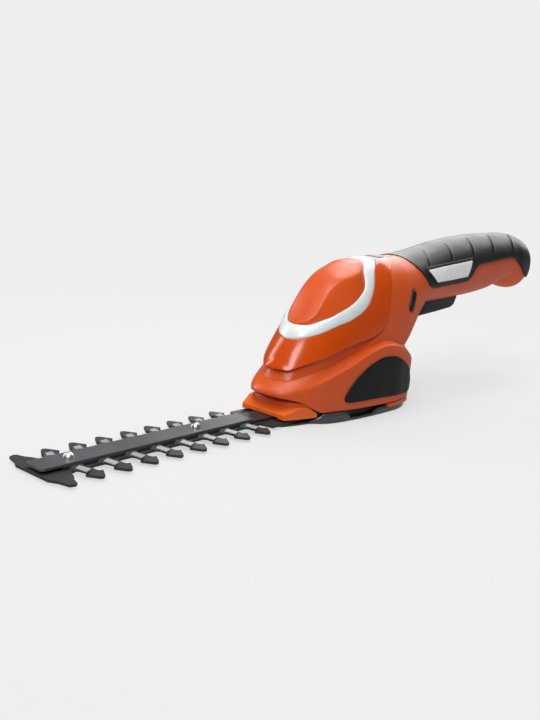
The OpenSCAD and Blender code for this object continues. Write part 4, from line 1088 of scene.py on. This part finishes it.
@dataclass
class LowerHousing:
    """The flared lower shell: ledge, edge, wall and rolled lower edge, with its bare badge plate.

    row_counts are the rows of these four. A lip rise is a height and the share of the wall that it may take. A
    badge station is a place with the heights of the plate's lower and upper edge.
    """

    columns: int = 130
    row_counts: tuple[int, int, int, int] = (14, 9, 8, 7)
    tuck_in: float = 2.0
    tuck_down: float = 0.4
    ledge_crown: float = 0.03
    ledge_least: float = 1.2
    edge_r: float = 1.7
    edge_most_share: float = 0.7
    front_r: float = 2.6
    front_share: float = 0.3
    wall_least: float = 0.5
    turn_share: float = 0.35
    turn_front_share: float = 0.3
    roll_r: float = 1.4
    roll_share: float = 0.25
    lip_in: float = 1.2
    lip_rises: Pairs = ((0.8, 0.2), (6.0, 0.35))
    badge: Sequence[Triple] = (
        (14.4, 12.8, 14.2), (13.1, 11.7, 16.9), (10.5, 11, 20.9), (3.4, 11, 28), (-7.6, 11.2, 34),
        (-17.6, 11.2, 36.6), (-25.8, 11, 36.2), (-35, 10.7, 33), (-44.1, 10.4, 27.3), (-49.1, 11, 20.6),
        (-51.5, 13, 16),
    )
    badge_t: float = 0.8
    badge_r: float = 0.5
    badge_bite: float = 0.8
    badge_points: tuple[int, int] = (90, 14)
    wall_points: int = 400

    def column(self, t: Array) -> Array:
        """Builds the profiles of the left side.

        Args:
            t: Places along the shoulder, front to rear.

        Returns:
            Rows of points from the body down to the inside of the lower edge.
        """
        skirt = skirt_share(t)[:, None]
        top = skirt * skirt_line(t) + (1 - skirt) * FORM.spot(spline(SHOULDER, t))
        wall = spline(WALL, t)
        out, low = wall[:, :3], np.maximum(wall[:, 3], WALL[-1, 3])
        inward = unit((top - out) * np.array([1, 1, 0]))
        ahead = np.clip(1 - t / self.front_share, 0, 1)
        edge_r = self.edge_r + self.front_r * ease(ahead)
        stop = 1 - np.minimum(self.edge_most_share, edge_r / np.linalg.norm(top - out, axis=1))
        ledge, edge, side, roll_steps = (np.linspace(0, 1, n) for n in self.row_counts)
        fall = (top - out)[:, 2:] + self.ledge_least
        rows = [top + inward * self.tuck_in - UP * self.tuck_down]
        for f in ledge:
            g = (f * stop)[:, None]
            rows.append(top + g * (out - top) + UP * (4 * self.ledge_crown * g * (1 - g) * fall))
        start = rows[-1]
        tall = np.maximum(out[:, 2] - low, self.wall_least)
        turn = np.minimum(edge_r, (self.turn_share + self.turn_front_share * ahead) * tall)
        end = out - UP * turn[:, None]
        rows += [bend(start, out, end, f) for f in edge[1:]]
        roll = np.minimum(self.roll_r, self.roll_share * tall)[:, None]
        corner = at_height(out[:, :2], low)
        foot = corner + UP * roll
        rows += [end + f * (foot - end) for f in side[1:]]
        lip = corner + inward * roll
        rows += [bend(foot, corner, lip, f) for f in roll_steps[1:]]
        for most, share in self.lip_rises:
            rows.append(lip + inward * self.lip_in + UP * np.minimum(most, share * tall)[:, None])
        return np.stack(rows)

    def build(self) -> None:
        """Builds the shell and the badge plate."""
        left = self.column(ring_steps(self.columns))
        left[:, [0, -1], 1] = 0
        grid = np.concatenate([left, left[:, -2:0:-1] * MIRROR], axis=1)
        shell = Piece("lower_shell", HOUSING_ABS, "housing_orange", ["lower_housing"], sharp_deg=50)
        shell.from_grid(grid, wrap=True, flip=True)
        self.build_badge()

    def build_badge(self) -> None:
        """Builds the bare badge plate on the left."""
        table = np.array(self.badge)
        front, rear = table[[0, -1], 0]
        columns, middle = self.badge_points
        x = front + closer_ends(columns) * (rear - front)
        low, high = (Profile(table[:, [0, k]]).at(x) for k in (1, 2))
        radii = (self.badge_r, self.badge_r)
        share, drop = edge_rows(high - low, radii, middle, 0.0, self.badge_t + self.badge_bite)
        y = across_at(spline(WALL, np.linspace(0, 1, self.wall_points)), x)
        slope = np.gradient(y, x)
        normal = unit(np.stack([-slope, np.ones_like(slope)], -1))
        ends = self.badge_r * arc_drop(np.minimum(front - x, x - rear) / self.badge_r)
        out = (self.badge_t + drop)[:, None] - ends
        grid = np.stack([x + normal[:, 0] * out, y + normal[:, 1] * out, high + share * (low - high)], -1)
        Piece("badge_plate", BADGE_FILM, "badge_black", ["badge_left"]).from_grid(grid, flip=True)


@dataclass
class RubberGrip:
    """Rubber overmould with its slanted ribs and the bare label plate on its left cheek.

    A rib is a station on the middle and its sweep forward on the flank. A label station is a place with the
    heights of the plate's upper and lower edge.
    """

    columns: int = 420
    middle_rows: int = 70
    thick: float = 1.9
    flush: float = 0.4
    bite: float = 0.3
    edge_r: float = 1.1
    end_columns: int = 6
    edge: Pairs = (
        (-62, 90.5), (-63.4, 88.8), (-65.5, 86), (-69.2, 82), (-75.3, 75.6), (-79.5, 73), (-85, 72.3),
        (-97, 72.7), (-109, 73.2), (-121, 73.8), (-129, 74.6), (-134.5, 78), (-139.5, 82.8), (-145, 84.9),
        (-157, 85.8), (-169, 86.7), (-181, 87.6), (-193, 88.2), (-200, 87), (-208, 82), (-215.7, 76.9),
        (-221.4, 73.5), (-228.5, 72), (-235.5, 73.5), (-238.8, 77),
    )
    points_per_step: int = 40
    way_steps: int = 16
    least_radii: float = 4.0
    degree_mm: float = 0.25
    front_x: float = -58.0
    front_mm: float = 75.0
    front_power: float = 0.8
    rear_x: float = -241.0
    rear_mm: float = 24.0
    ribs: Pairs = ((-90, 10.0), (-116, 8.0), (-145, 9.0), (-175, 10.5), (-206, 12.0))
    rib_rise: float = 0.7
    rib_half: float = 1.5
    rib_start: tuple[float, float] = (3.2, 10.0)
    rib_end: float = 17.6
    rib_fade: float = 3.0
    rib_face_drop: float = 0.2
    sweep_from: float = 5.0
    sweep_mm: float = 12.0
    sweep_shares: tuple[float, float] = (-0.4, 1.2)
    label: Sequence[Triple] = (
        (-76.5, 83.6, 83), (-85, 84.3, 76), (-105, 86, 76.8), (-126, 87.6, 78), (-131.5, 88, 87.2),
    )
    label_r: float = 0.25
    label_step: float = 0.12
    label_foot: float = 1.2
    label_points: tuple[int, int] = (70, 12)
    surround_mm: float = 1.6
    surround_rise: float = 0.55
    surround_r: float = 0.5

    def outline(self) -> Array:
        """Smooths the lower edge and spaces its places evenly.

        Returns:
            Stations and angles, front to rear.
        """
        control = FORM.edge(self.edge)
        head, tail = 2 * control[[0, -1]] - control[[1, -2]]
        fine = np.linspace(0, 1, self.points_per_step * len(control))
        line = curve(np.vstack([head, control, tail]), fine)
        step = np.hypot(np.diff(line[:, 0]), self.degree_mm * np.diff(line[:, 1]))
        far = np.concatenate([[0], np.cumsum(step)])
        even = np.linspace(0, far[-1], self.columns)
        return np.stack([np.interp(even, far, values) for values in line.T], -1)

    def proud(self, x: Array) -> Array:
        """Finds how far the rubber stands off the housing: flush at its front and at the handle's end."""
        front = np.clip((self.front_x - x) / self.front_mm, 0, 1) ** self.front_power
        return self.flush + (self.thick - self.flush) * front * ease((x - self.rear_x) / self.rear_mm)

    def rib_lift(self, points: Array) -> Array:
        """Finds the rise of the slanted ribs.

        Args:
            points: Points on the handle.

        Returns:
            Heights.
        """
        rise = np.zeros(points.shape[:-1])
        side = np.abs(points[..., 1])
        start = np.where(points[..., 1] > 0, *self.rib_start)
        reach = np.clip(np.minimum(side - start, self.rib_end - side) / self.rib_fade, 0, 1)
        swept = np.clip((side - self.sweep_from) / self.sweep_mm, *self.sweep_shares)
        for x, sweep in self.ribs:
            near = ease(1 - np.abs(points[..., 0] - x - sweep * swept) / self.rib_half)
            rise += self.rib_rise * reach * near
        return rise

    def build(self) -> None:
        """Builds the overmould and its plates."""
        edge = self.outline()
        other = edge * np.array([1, -1]) + np.array([0, 180])
        width = np.maximum(FORM.breadth(other, edge, self.way_steps), self.least_radii * self.edge_r)
        deep = self.thick + self.bite
        share, drop = edge_rows(width, (self.edge_r, self.edge_r), self.middle_rows, 0.0, deep)
        uv = between(other, edge, share)
        number = np.arange(self.columns)
        fall = deep * arc_drop(np.minimum(number, number[::-1]) / self.end_columns)
        ribs = self.rib_lift(FORM.spot(uv)) * (drop > -self.rib_face_drop)[:, None]
        lift = np.maximum(self.proud(uv[..., 0]) + drop[:, None] - fall + ribs, -self.bite)
        Piece("grip_skin", GRIP_TPE, "grip_rubber", ["grip_overmould"]).from_grid(FORM.lifted(uv, lift))
        surround = Piece("label_surround", GRIP_TPE, "grip_rubber")
        self.plate(surround, self.surround_mm, self.surround_rise, self.surround_r)
        label = Piece("label_plate", LABEL_FILM, "label_white", ["label_plate_left"])
        self.plate(label, 0.0, self.surround_rise + self.label_step, self.label_r)

    def plate(self, piece: Piece, grow: float, rise: float, radius: float) -> None:
        """Builds the label plate or its raised surround.

        Args:
            piece: The piece to build.
            grow: How far its outline stands outside the label.
            rise: Height of its face above the rubber.
            radius: Radius along its edge.
        """
        table = np.array(self.label)
        front, rear = table[0, 0] + grow, table[-1, 0] - grow
        columns, middle = self.label_points
        x = front + closer_ends(columns) * (rear - front)
        high, low = across_at(table, x) + grow, across_at(table[:, [0, 2]], x) - grow
        width = np.maximum(high - low, self.least_radii * radius)
        share, drop = edge_rows(width, (radius, radius), middle, 0.0, self.label_foot)
        z = high + share * (low - high)
        uv = np.stack([np.broadcast_to(x, z.shape), FORM.angle_at(x, z)], -1)
        fall = self.label_foot * arc_drop(np.minimum(front - x, x - rear) / radius)
        piece.from_grid(FORM.lifted(uv, self.proud(uv[..., 0]) + rise + drop[:, None] - fall), flip=True)


@dataclass
class BladeBase:
    """Round throat above the blade and the boat-like clear shoe below it, with its black inner wall.

    A throat row is a shift outward and a height, and so is a sole row of the shoe. A brim row of the shoe is
    an inset, a lean for each millimetre of the rim's height, and a fall from its top.
    """

    throat_plan: Pairs = ((49.2, 0), (48.6, 6), (46.6, 12.4), (42, 17.8), (35, 20.8), (26, 22.4))
    throat_rows: Pairs = (
        (-2.0, 8.6), (0.0, 9.2), (0.0, 12.0), (-0.2, 12.5), (-0.6, 12.8), (-1.2, 12.95), (-1.6, 13.3),
        (-1.7, 14.0), (-1.7, 19.5), (-4.0, 19.6),
    )
    throat_points: int = 90
    shoe_plan: Pairs = (
        (57.2, 0), (57, 9), (55.6, 14.8), (46, 18), (35.5, 20.6), (28.5, 25.2), (18, 28.4), (0, 30.6),
        (-24, 31.8), (-42, 31), (-55, 25.4), (-63, 15.4), (-66.3, 0),
    )
    shoe_points: int = 240
    rim_heights: Pairs = (
        (60, 1.2), (38, 1.2), (33, 3), (28, 6), (13.5, 6), (11, 5.2), (8, 1.7), (-10, 1.7), (-15, 3.4),
        (-19, 4.6), (-60, 4.4), (-67, 4.4),
    )
    rim_most: float = 3.0
    rim_least: float = 0.5
    rim_share: float = 0.45
    rim_r: float = 0.25
    floor_z: float = 1.0
    floor_in: float = 2.6
    brim_rows: Sequence[Triple] = ((0.8, 0.07, 0.0), (0.4, 0.07, 0.12), (0.2, 0.06, 0.4))
    side_shares: Sequence[float] = (0.8, 0.6, 0.4)
    side_lean: float = 0.06
    side_foot: float = 0.9
    side_short: float = 1.3
    sole_rows: Pairs = ((0.0, 0.8), (-0.15, 0.4), (-0.5, 0.12), (-1.2, 0.0))
    wall_front: float = 54.5
    wall_inset: float = 3.4
    wall_heights: Sequence[float] = (1.25, 3.0, 5.0, 6.4)

    @staticmethod
    def outward(line: Array) -> Array:
        """Finds the outward unit normals of a plan outline that runs front to rear on the left."""
        along = unit(np.gradient(line, axis=0))
        return np.stack([along[:, 1], -along[:, 0]], -1)

    def build(self) -> None:
        """Builds the throat and the shoe."""
        self.throat()
        self.rim()
        self.wall()

    def throat(self) -> None:
        """Builds the round throat with its collar."""
        half = spline(np.asarray(self.throat_plan, float), np.linspace(0, 1, self.throat_points))
        out = self.outward(half)
        out[0] = (1, 0)
        rows = []
        for shift, z in self.throat_rows:
            left = at_height(half + out * shift, z)
            left[0, 1] = 0
            rows.append(np.concatenate([left[::-1], left[1:] * MIRROR]))
        Piece("throat_shell", HOUSING_ABS, "housing_orange", sharp_deg=60).from_grid(np.stack(rows))

    def shoe_line(self) -> Array:
        """Smooths the shoe's outline in plan."""
        return spline(np.asarray(self.shoe_plan, float), np.linspace(0, 1, self.shoe_points))

    def rim(self) -> None:
        """Builds the clear rim with its sole."""
        line = self.shoe_line()
        out = self.outward(line)
        high = Profile(self.rim_heights).at(line[:, 0])
        deep = np.minimum(self.rim_most, self.rim_least + self.rim_share * high)
        rows = [(-deep - self.floor_in, self.floor_z), (-deep, self.floor_z)]
        rows += [(-deep, high - self.rim_r), (-deep + self.rim_r, high)]
        rows += [(-inset - lean * high, high - fall) for inset, lean, fall in self.brim_rows]
        for f in self.side_shares:
            rows.append((-self.side_lean * high * f**2, self.side_foot + f * (high - self.side_short)))
        rows += self.sole_rows
        stack = []
        for shift, z in rows:
            left = at_height(line + out * np.broadcast_to(shift, len(line))[:, None], z)
            left[[0, -1], 1] = 0
            stack.append(np.concatenate([left, left[-2:0:-1] * MIRROR]))
        flat = np.array([1, 0, 1])
        grid = np.stack([stack[0] * flat, *stack, stack[-1] * flat])
        shoe = Piece("shoe_rim", SHOE_PC, "shoe_grey", ["shoe"], sharp_deg=50)
        shoe.from_grid(grid, wrap=True, flip=True)

    def wall(self) -> None:
        """Builds the black wall inside the rim."""
        line = self.shoe_line()
        line = line[line[:, 0] < self.wall_front]
        wall = line - self.outward(line) * self.wall_inset
        wall[-1, 1] = 0
        ring = np.concatenate([wall, wall[-2::-1] * MIRROR[:2]])
        grid = np.stack([at_height(ring, z) for z in self.wall_heights])
        Piece("shoe_wall", NYLON, "carrier_black").from_grid(grid)


@dataclass
class BladeDetail:
    """Bright ground flats on the moving teeth and the domed rivets of the guide bar.

    The corners of a flat are measured from its tooth's own station.
    """

    first_x: float = 206.25
    pitch: float = 16.5
    teeth: int = 8
    flat: Sequence[Triple] = ((6.3, 10.2, 4.3), (2.9, 8.8, 4.44), (1.5, 15.6, 4.44), (5.3, 17.0, 4.3))
    flat_t: float = 0.5
    far_reach: float = 13.4
    rivets: Sequence[float] = (192.0, 108.7)
    dome_r: float = 2.7
    dome_h: float = 2.6
    dome_rows: int = 14
    dome_turn_deg: float = 7.5
    dome_start_rad: float = 0.01
    shank_r: float = 1.8
    seat_z: float = 5.52
    foot_z: float = 1.45
    least_r: float = 0.02

    def build(self) -> None:
        """Builds the flats and the rivets."""
        self.flats()
        self.domes()

    def flats(self) -> None:
        """Builds one sloping flat for each tooth on both sides of the blade, shorter on the right."""
        top = np.asarray(self.flat, float)
        left = np.vstack([top, top - UP * self.flat_t])
        right = np.minimum(left, (math.inf, self.far_reach, math.inf)) * MIRROR
        quads = [(0, 1, 2, 3)] + [(i, i + 4, (i + 1) % 4 + 4, (i + 1) % 4) for i in range(4)]
        points, faces = [], []
        for k in range(1, self.teeth + 1):
            for corners, turned in ((left, quads), (right, [q[::-1] for q in quads])):
                faces += [tuple(len(points) + v for v in q) for q in turned]
                points += list(corners + np.array([self.first_x - k * self.pitch, 0, 0]))
        flats = Piece("ground_flats", GROUND_STEEL, "bright_steel", body=Body.BLADE, sharp_deg=20)
        flats.from_mesh(np.array(points), faces)

    def domes(self) -> None:
        """Builds the rivets: a dome on the bar and a shank through the plates."""
        ball = (self.dome_r**2 + self.dome_h**2) / (2 * self.dome_h)
        arc = np.linspace(self.dome_start_rad, math.asin(self.dome_r / ball), self.dome_rows)
        crest = self.seat_z + self.dome_h
        profile = [(ball * math.sin(a), crest - ball * (1 - math.cos(a))) for a in arc]
        profile += [(self.dome_r, self.seat_z + self.least_r), (self.shank_r, self.seat_z)]
        profile += [(self.shank_r, self.foot_z), (self.least_r, self.foot_z)]
        turn = np.radians(np.arange(0, 360, self.dome_turn_deg))
        for number, x in enumerate(self.rivets, 1):
            grid = np.array([[(x + r * math.cos(a), r * math.sin(a), z) for a in turn] for r, z in profile])
            rivet = Piece(f"rivet_{number}", RIVET_CHROME, "rivet_chrome", ["blade_rivets"], sharp_deg=50)
            rivet.from_grid(grid, wrap=True)


@dataclass
class Controls:
    """Squeeze trigger and lock-off button.

    A ring of the button's cap is a share of its outline and a rise, as a share of how proud it stands.
    """

    trigger_half: float = 8.2
    trigger_r: float = 1.4
    trigger: Pairs = (
        (-84.2, 49.6), (-86, 50.1), (-88.5, 50.5), (-93, 51), (-110, 52.1), (-131.5, 53.8), (-135.5, 55.6),
        (-138, 60.5), (-139.5, 65.5), (-120, 66), (-100, 67.2), (-94, 69.2), (-87, 69.2), (-84.2, 66.5),
        (-83.5, 56),
    )
    trigger_corner_r: float = 1.6
    trigger_corner_points: int = 5
    lock_proud: float = 0.7
    lock_end_points: int = 17
    lock_rings: Pairs = (
        (1.0, -4.0), (1.0, -0.5), (0.97, 0.25), (0.9, 0.65), (0.78, 0.9), (0.5, 1.0), (0.2, 1.0),
        (0.02, 1.0),
    )

    def build(self) -> None:
        """Builds both controls."""
        self.build_trigger()
        self.build_lock_off()

    def build_trigger(self) -> None:
        """Builds the squeeze trigger."""
        outline = rounded_outline(self.trigger, self.trigger_corner_points, self.trigger_corner_r)
        points, faces = slab(outline, self.trigger_half, self.trigger_r)
        trigger = Piece(
            "squeeze_trigger", CONTROL, "control_black", ["trigger"], body=Body.TRIGGER, sharp_deg=55
        )
        trigger.from_mesh(points[:, [0, 2, 1]], [f[::-1] for f in faces])

    def build_lock_off(self) -> None:
        """Builds the lock-off button, which goes through the body and shows on both flanks."""
        count = self.lock_end_points
        turn = np.concatenate([np.linspace(0, math.pi, count), np.linspace(math.pi, 2 * math.pi, count)])
        shift = np.repeat([LOCK.straight, -LOCK.straight], count)
        cap = np.stack([LOCK.half * np.cos(turn), LOCK.half * np.sin(turn) + shift], -1)
        a = math.radians(LOCK.tilt_deg)
        cap = cap @ np.array([[math.cos(a), math.sin(a)], [-math.sin(a), math.cos(a)]])
        layers = []
        for share, rise in self.lock_rings:
            x, z = (cap * share + np.array(LOCK.at)).T
            y = FORM.point(x, FORM.angle_at(x, z))[:, 1] + self.lock_proud * rise
            layers.append(np.stack([x, y, z], -1))
        left = np.stack(layers[::-1])
        grid = np.concatenate([left, left[::-1] * MIRROR])
        button = Piece(
            "lock_off_cap", CONTROL, "control_black", ["lock_off_button"], body=Body.LOCK_OFF, sharp_deg=60
        )
        button.from_grid(grid, wrap=True, flip=True)


@dataclass
class CadDress:
    """Dresses CAD nodes that are shown as they are: a finish and a small bevel on every edge."""

    plan: Sequence[tuple[str, Finish, float]] = (
        # The apron's brighter orange is painted light.
        ("front_apron", APRON_PAINTED_LIGHT_ABS, 0.7),
        ("blade_carrier", NYLON, 0.3),
        ("shoe_latch", HOUSING_ABS, 0.35),
        ("latch_spring", ZINC, 0.05),
        ("fixed_comb", OXIDE_STEEL, 0.15),
        ("moving_blade", OXIDE_STEEL, 0.08),
        ("guide_bar", BAR_STEEL, 0.2),
        ("crank_gear", SINTER, 0.08),
        ("gear_axle", NICKEL, 0.15),
        ("gear_plate", ZINC, 0.15),
        ("motor", ZINC, 0.4),
        ("motor_pinion", SINTER, 0.06),
        ("circuit_board", BOARD, 0.1),
        ("battery_cells", CELL_FILM, 0.4),
        ("cell_cradle", NYLON, 0.2),
        ("switch_module", CONTROL, 0.2),
        ("trigger_pin", NICKEL, 0.15),
        ("trigger_spring", ZINC, 0.05),
        ("lock_off_spring", ZINC, 0.05),
        ("charge_socket", CONTROL, 0.2),
        ("housing_screws", NICKEL, 0.12),
    )
    weld_mm: float = 0.001
    flat_deg: float = 0.5
    sharp_deg: float = 32.0
    bevel_steps: int = 2

    def build(self, nodes: dict[str, bpy.types.Object]) -> None:
        """Dresses the nodes.

        Args:
            nodes: The frame's CAD nodes by name.
        """
        for name, finish, bevel in self.plan:
            node = nodes[name]
            node.data.materials.clear()
            node.data.materials.append(finish.build())
            weld = node.modifiers.new("weld", "WELD")
            weld.merge_threshold = self.weld_mm * MM
            flat = node.modifiers.new("flat", "DECIMATE")
            flat.decimate_type = "DISSOLVE"
            flat.angle_limit = math.radians(self.flat_deg)
            edge = node.modifiers.new("edge", "BEVEL")
            edge.width = bevel * MM
            edge.segments = self.bevel_steps
            edge.limit_method = "ANGLE"
            edge.angle_limit = math.radians(self.sharp_deg)
            edge.harden_normals = True
            LOG.info("%s: dressed", name)


@dataclass(frozen=True)
class SoftBox:
    """A rectangular lamp that the camera doesn't see, in metres and watts."""

    name: str
    at: Triple
    aim: Triple
    size: tuple[float, float]
    power: float

    def build(self) -> None:
        """Hangs the lamp and turns it to its aim."""
        lamp = bpy.data.lights.new(self.name, "AREA")
        lamp.shape = "RECTANGLE"
        lamp.size, lamp.size_y = self.size
        lamp.energy = self.power
        thing = bpy.data.objects.new(self.name, lamp)
        bpy.context.scene.collection.objects.link(thing)
        thing.visible_camera = False
        thing.location = self.at
        thing.rotation_euler = (Vector(self.aim) - Vector(self.at)).to_track_quat("-Z", "Y").to_euler()


@dataclass
class Studio:
    """Pale floor, soft boxes and the camera.

    The floor and the surround are pale to the camera. Both light the tool less, and show less in its gloss.
    """

    camera_at: Triple = (460.16, 333.09, 156.75)
    right: Triple = (-0.64621, 0.75755, 0.09234)
    down: Triple = (0.11304, 0.21467, -0.97011)
    lens_mm: float = 47.83
    sensor_mm: float = 36.0
    sight_m: float = 20.0
    floor_half_m: float = 6.0
    paper_hex: str = "#EEEEEE"
    paper_under: float = 0.68
    paper_face: tuple[float, float, float, float] = (0.22, 0.22, 0.22, 1.0)
    shade_at_m: Triple = (-0.02, 0.0, 0.0)
    shade_reach_mm: tuple[float, float] = (120.0, 420.0)
    floor_light: float = 0.75
    floor_gloss: float = 0.36
    sky: tuple[float, float, float, float] = (0.9, 0.92, 0.95, 1.0)
    sky_light: float = 0.13
    sky_gloss: float = 0.06
    boxes: Sequence[SoftBox] = (
        SoftBox("top box", (0.35, 0.0, 1.25), (0.03, 0.0, 0.05), (0.9, 0.7), 10.0),
        SoftBox("ledge box", (-0.7, -0.38, 1.15), (0.0, 0.0, 0.05), (0.6, 0.5), 5.5),
        SoftBox("back box", (-1.1, -0.35, 0.62), (-0.05, 0.0, 0.06), (1.1, 0.7), 8.0),
        SoftBox("right box", (0.32, -1.1, 0.42), (0.03, 0.0, 0.05), (0.3, 0.9), 4.0),
        SoftBox("key box", (0.95, 0.47, 0.83), (0.03, 0.0, 0.05), (0.36, 0.6), 6.6),
    )

    def build(self) -> None:
        """Builds the floor, the surround, the lamps and the camera."""
        self.floor()
        self.surround()
        for box in self.boxes:
            box.build()
        self.camera()

    def floor(self) -> None:
        """Builds the floor sheet: paper lit through from below, so that it takes only a faint shadow."""
        size = self.floor_half_m
        mesh = bpy.data.meshes.new("floor")
        corners = [(-size, -size, 0), (size, -size, 0), (size, size, 0), (-size, size, 0)]
        mesh.from_pydata(corners, [], [(0, 1, 2, 3)])
        sheet = bpy.data.objects.new("floor", mesh)
        bpy.context.scene.collection.objects.link(sheet)
        mesh.materials.append(self.paper())

    def paper(self) -> bpy.types.Material:
        """Makes the floor's paper, whose shadow fades out away from the tool.

        Returns:
            The Blender material.
        """
        paper = bpy.data.materials.new("translucent paper")
        paper.use_nodes = True
        tree = paper.node_tree
        tree.nodes.clear()
        white = linear(self.paper_hex)
        glow = add_node(tree, "ShaderNodeEmission", {"Color": white, "Strength": 1.0})
        under = add_node(tree, "ShaderNodeEmission", {"Color": white, "Strength": self.paper_under})
        face = add_node(tree, "ShaderNodeBsdfDiffuse", {"Color": self.paper_face})
        near = add_node(tree, "ShaderNodeAddShader", {0: under.outputs[0], 1: face.outputs[0]})
        place = add_node(tree, "ShaderNodeNewGeometry")
        spot = {0: place.outputs["Position"], 1: self.shade_at_m}
        far = add_node(tree, "ShaderNodeVectorMath", spot, operation="DISTANCE")
        start, end = self.shade_reach_mm
        reach = {"Value": far.outputs["Value"], "From Min": start * MM, "From Max": end * MM}
        fade = add_node(tree, "ShaderNodeMapRange", reach, interpolation_type="SMOOTHSTEP")
        seen = add_node(
            tree, "ShaderNodeMixShader", {0: fade.outputs[0], 1: near.outputs[0], 2: glow.outputs[0]}
        )
        path = add_node(tree, "ShaderNodeLightPath")
        levels = {"To Min": self.floor_light, "To Max": self.floor_gloss}
        level = add_node(tree, "ShaderNodeMapRange", {"Value": path.outputs["Is Glossy Ray"], **levels})
        felt = add_node(tree, "ShaderNodeEmission", {"Color": white, "Strength": level.outputs[0]})
        shown = {0: path.outputs["Is Camera Ray"], 1: felt.outputs[0], 2: seen.outputs[0]}
        mixed = add_node(tree, "ShaderNodeMixShader", shown)
        add_node(tree, "ShaderNodeOutputMaterial", {"Surface": mixed.outputs[0]})
        return paper

    def surround(self) -> None:
        """Builds the world round the tool."""
        world = bpy.data.worlds.new("studio")
        bpy.context.scene.world = world
        world.use_nodes = True
        tree = world.node_tree
        tree.nodes.clear()
        seen = add_node(tree, "ShaderNodeBackground", {"Color": linear(self.paper_hex), "Strength": 1.0})
        path = add_node(tree, "ShaderNodeLightPath")
        levels = {"To Min": self.sky_light, "To Max": self.sky_gloss}
        level = add_node(tree, "ShaderNodeMapRange", {"Value": path.outputs["Is Glossy Ray"], **levels})
        felt = add_node(tree, "ShaderNodeBackground", {"Color": self.sky, "Strength": level.outputs[0]})
        shown = {0: path.outputs["Is Camera Ray"], 1: felt.outputs[0], 2: seen.outputs[0]}
        mixed = add_node(tree, "ShaderNodeMixShader", shown)
        add_node(tree, "ShaderNodeOutputWorld", {"Surface": mixed.outputs[0]})

    def camera(self) -> None:
        """Builds the camera where the photograph was taken from."""
        data = bpy.data.cameras.new("camera")
        data.lens = self.lens_mm
        data.sensor_width = self.sensor_mm
        data.clip_end = self.sight_m
        thing = bpy.data.objects.new("camera", data)
        bpy.context.scene.collection.objects.link(thing)
        right, up = Vector(self.right).normalized(), -Vector(self.down).normalized()
        turn = Matrix((right, up, right.cross(up))).transposed().to_4x4()
        thing.matrix_world = Matrix.Translation(Vector(self.camera_at) * MM) @ turn
        bpy.context.scene.camera = thing
        bpy.context.scene.view_settings.view_transform = "Standard"


def main() -> None:
    """Builds the looks in order."""
    logging.basicConfig(level=logging.INFO, format="%(name)s: %(message)s")
    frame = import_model()
    for assembly in (HousingHalves, NoseTrim, LowerHousing, RubberGrip, BladeBase, BladeDetail, Controls):
        assembly().build()
    CadDress().build(frame["nodes"])
    Studio().build()


if __name__ == "__main__":
    main()
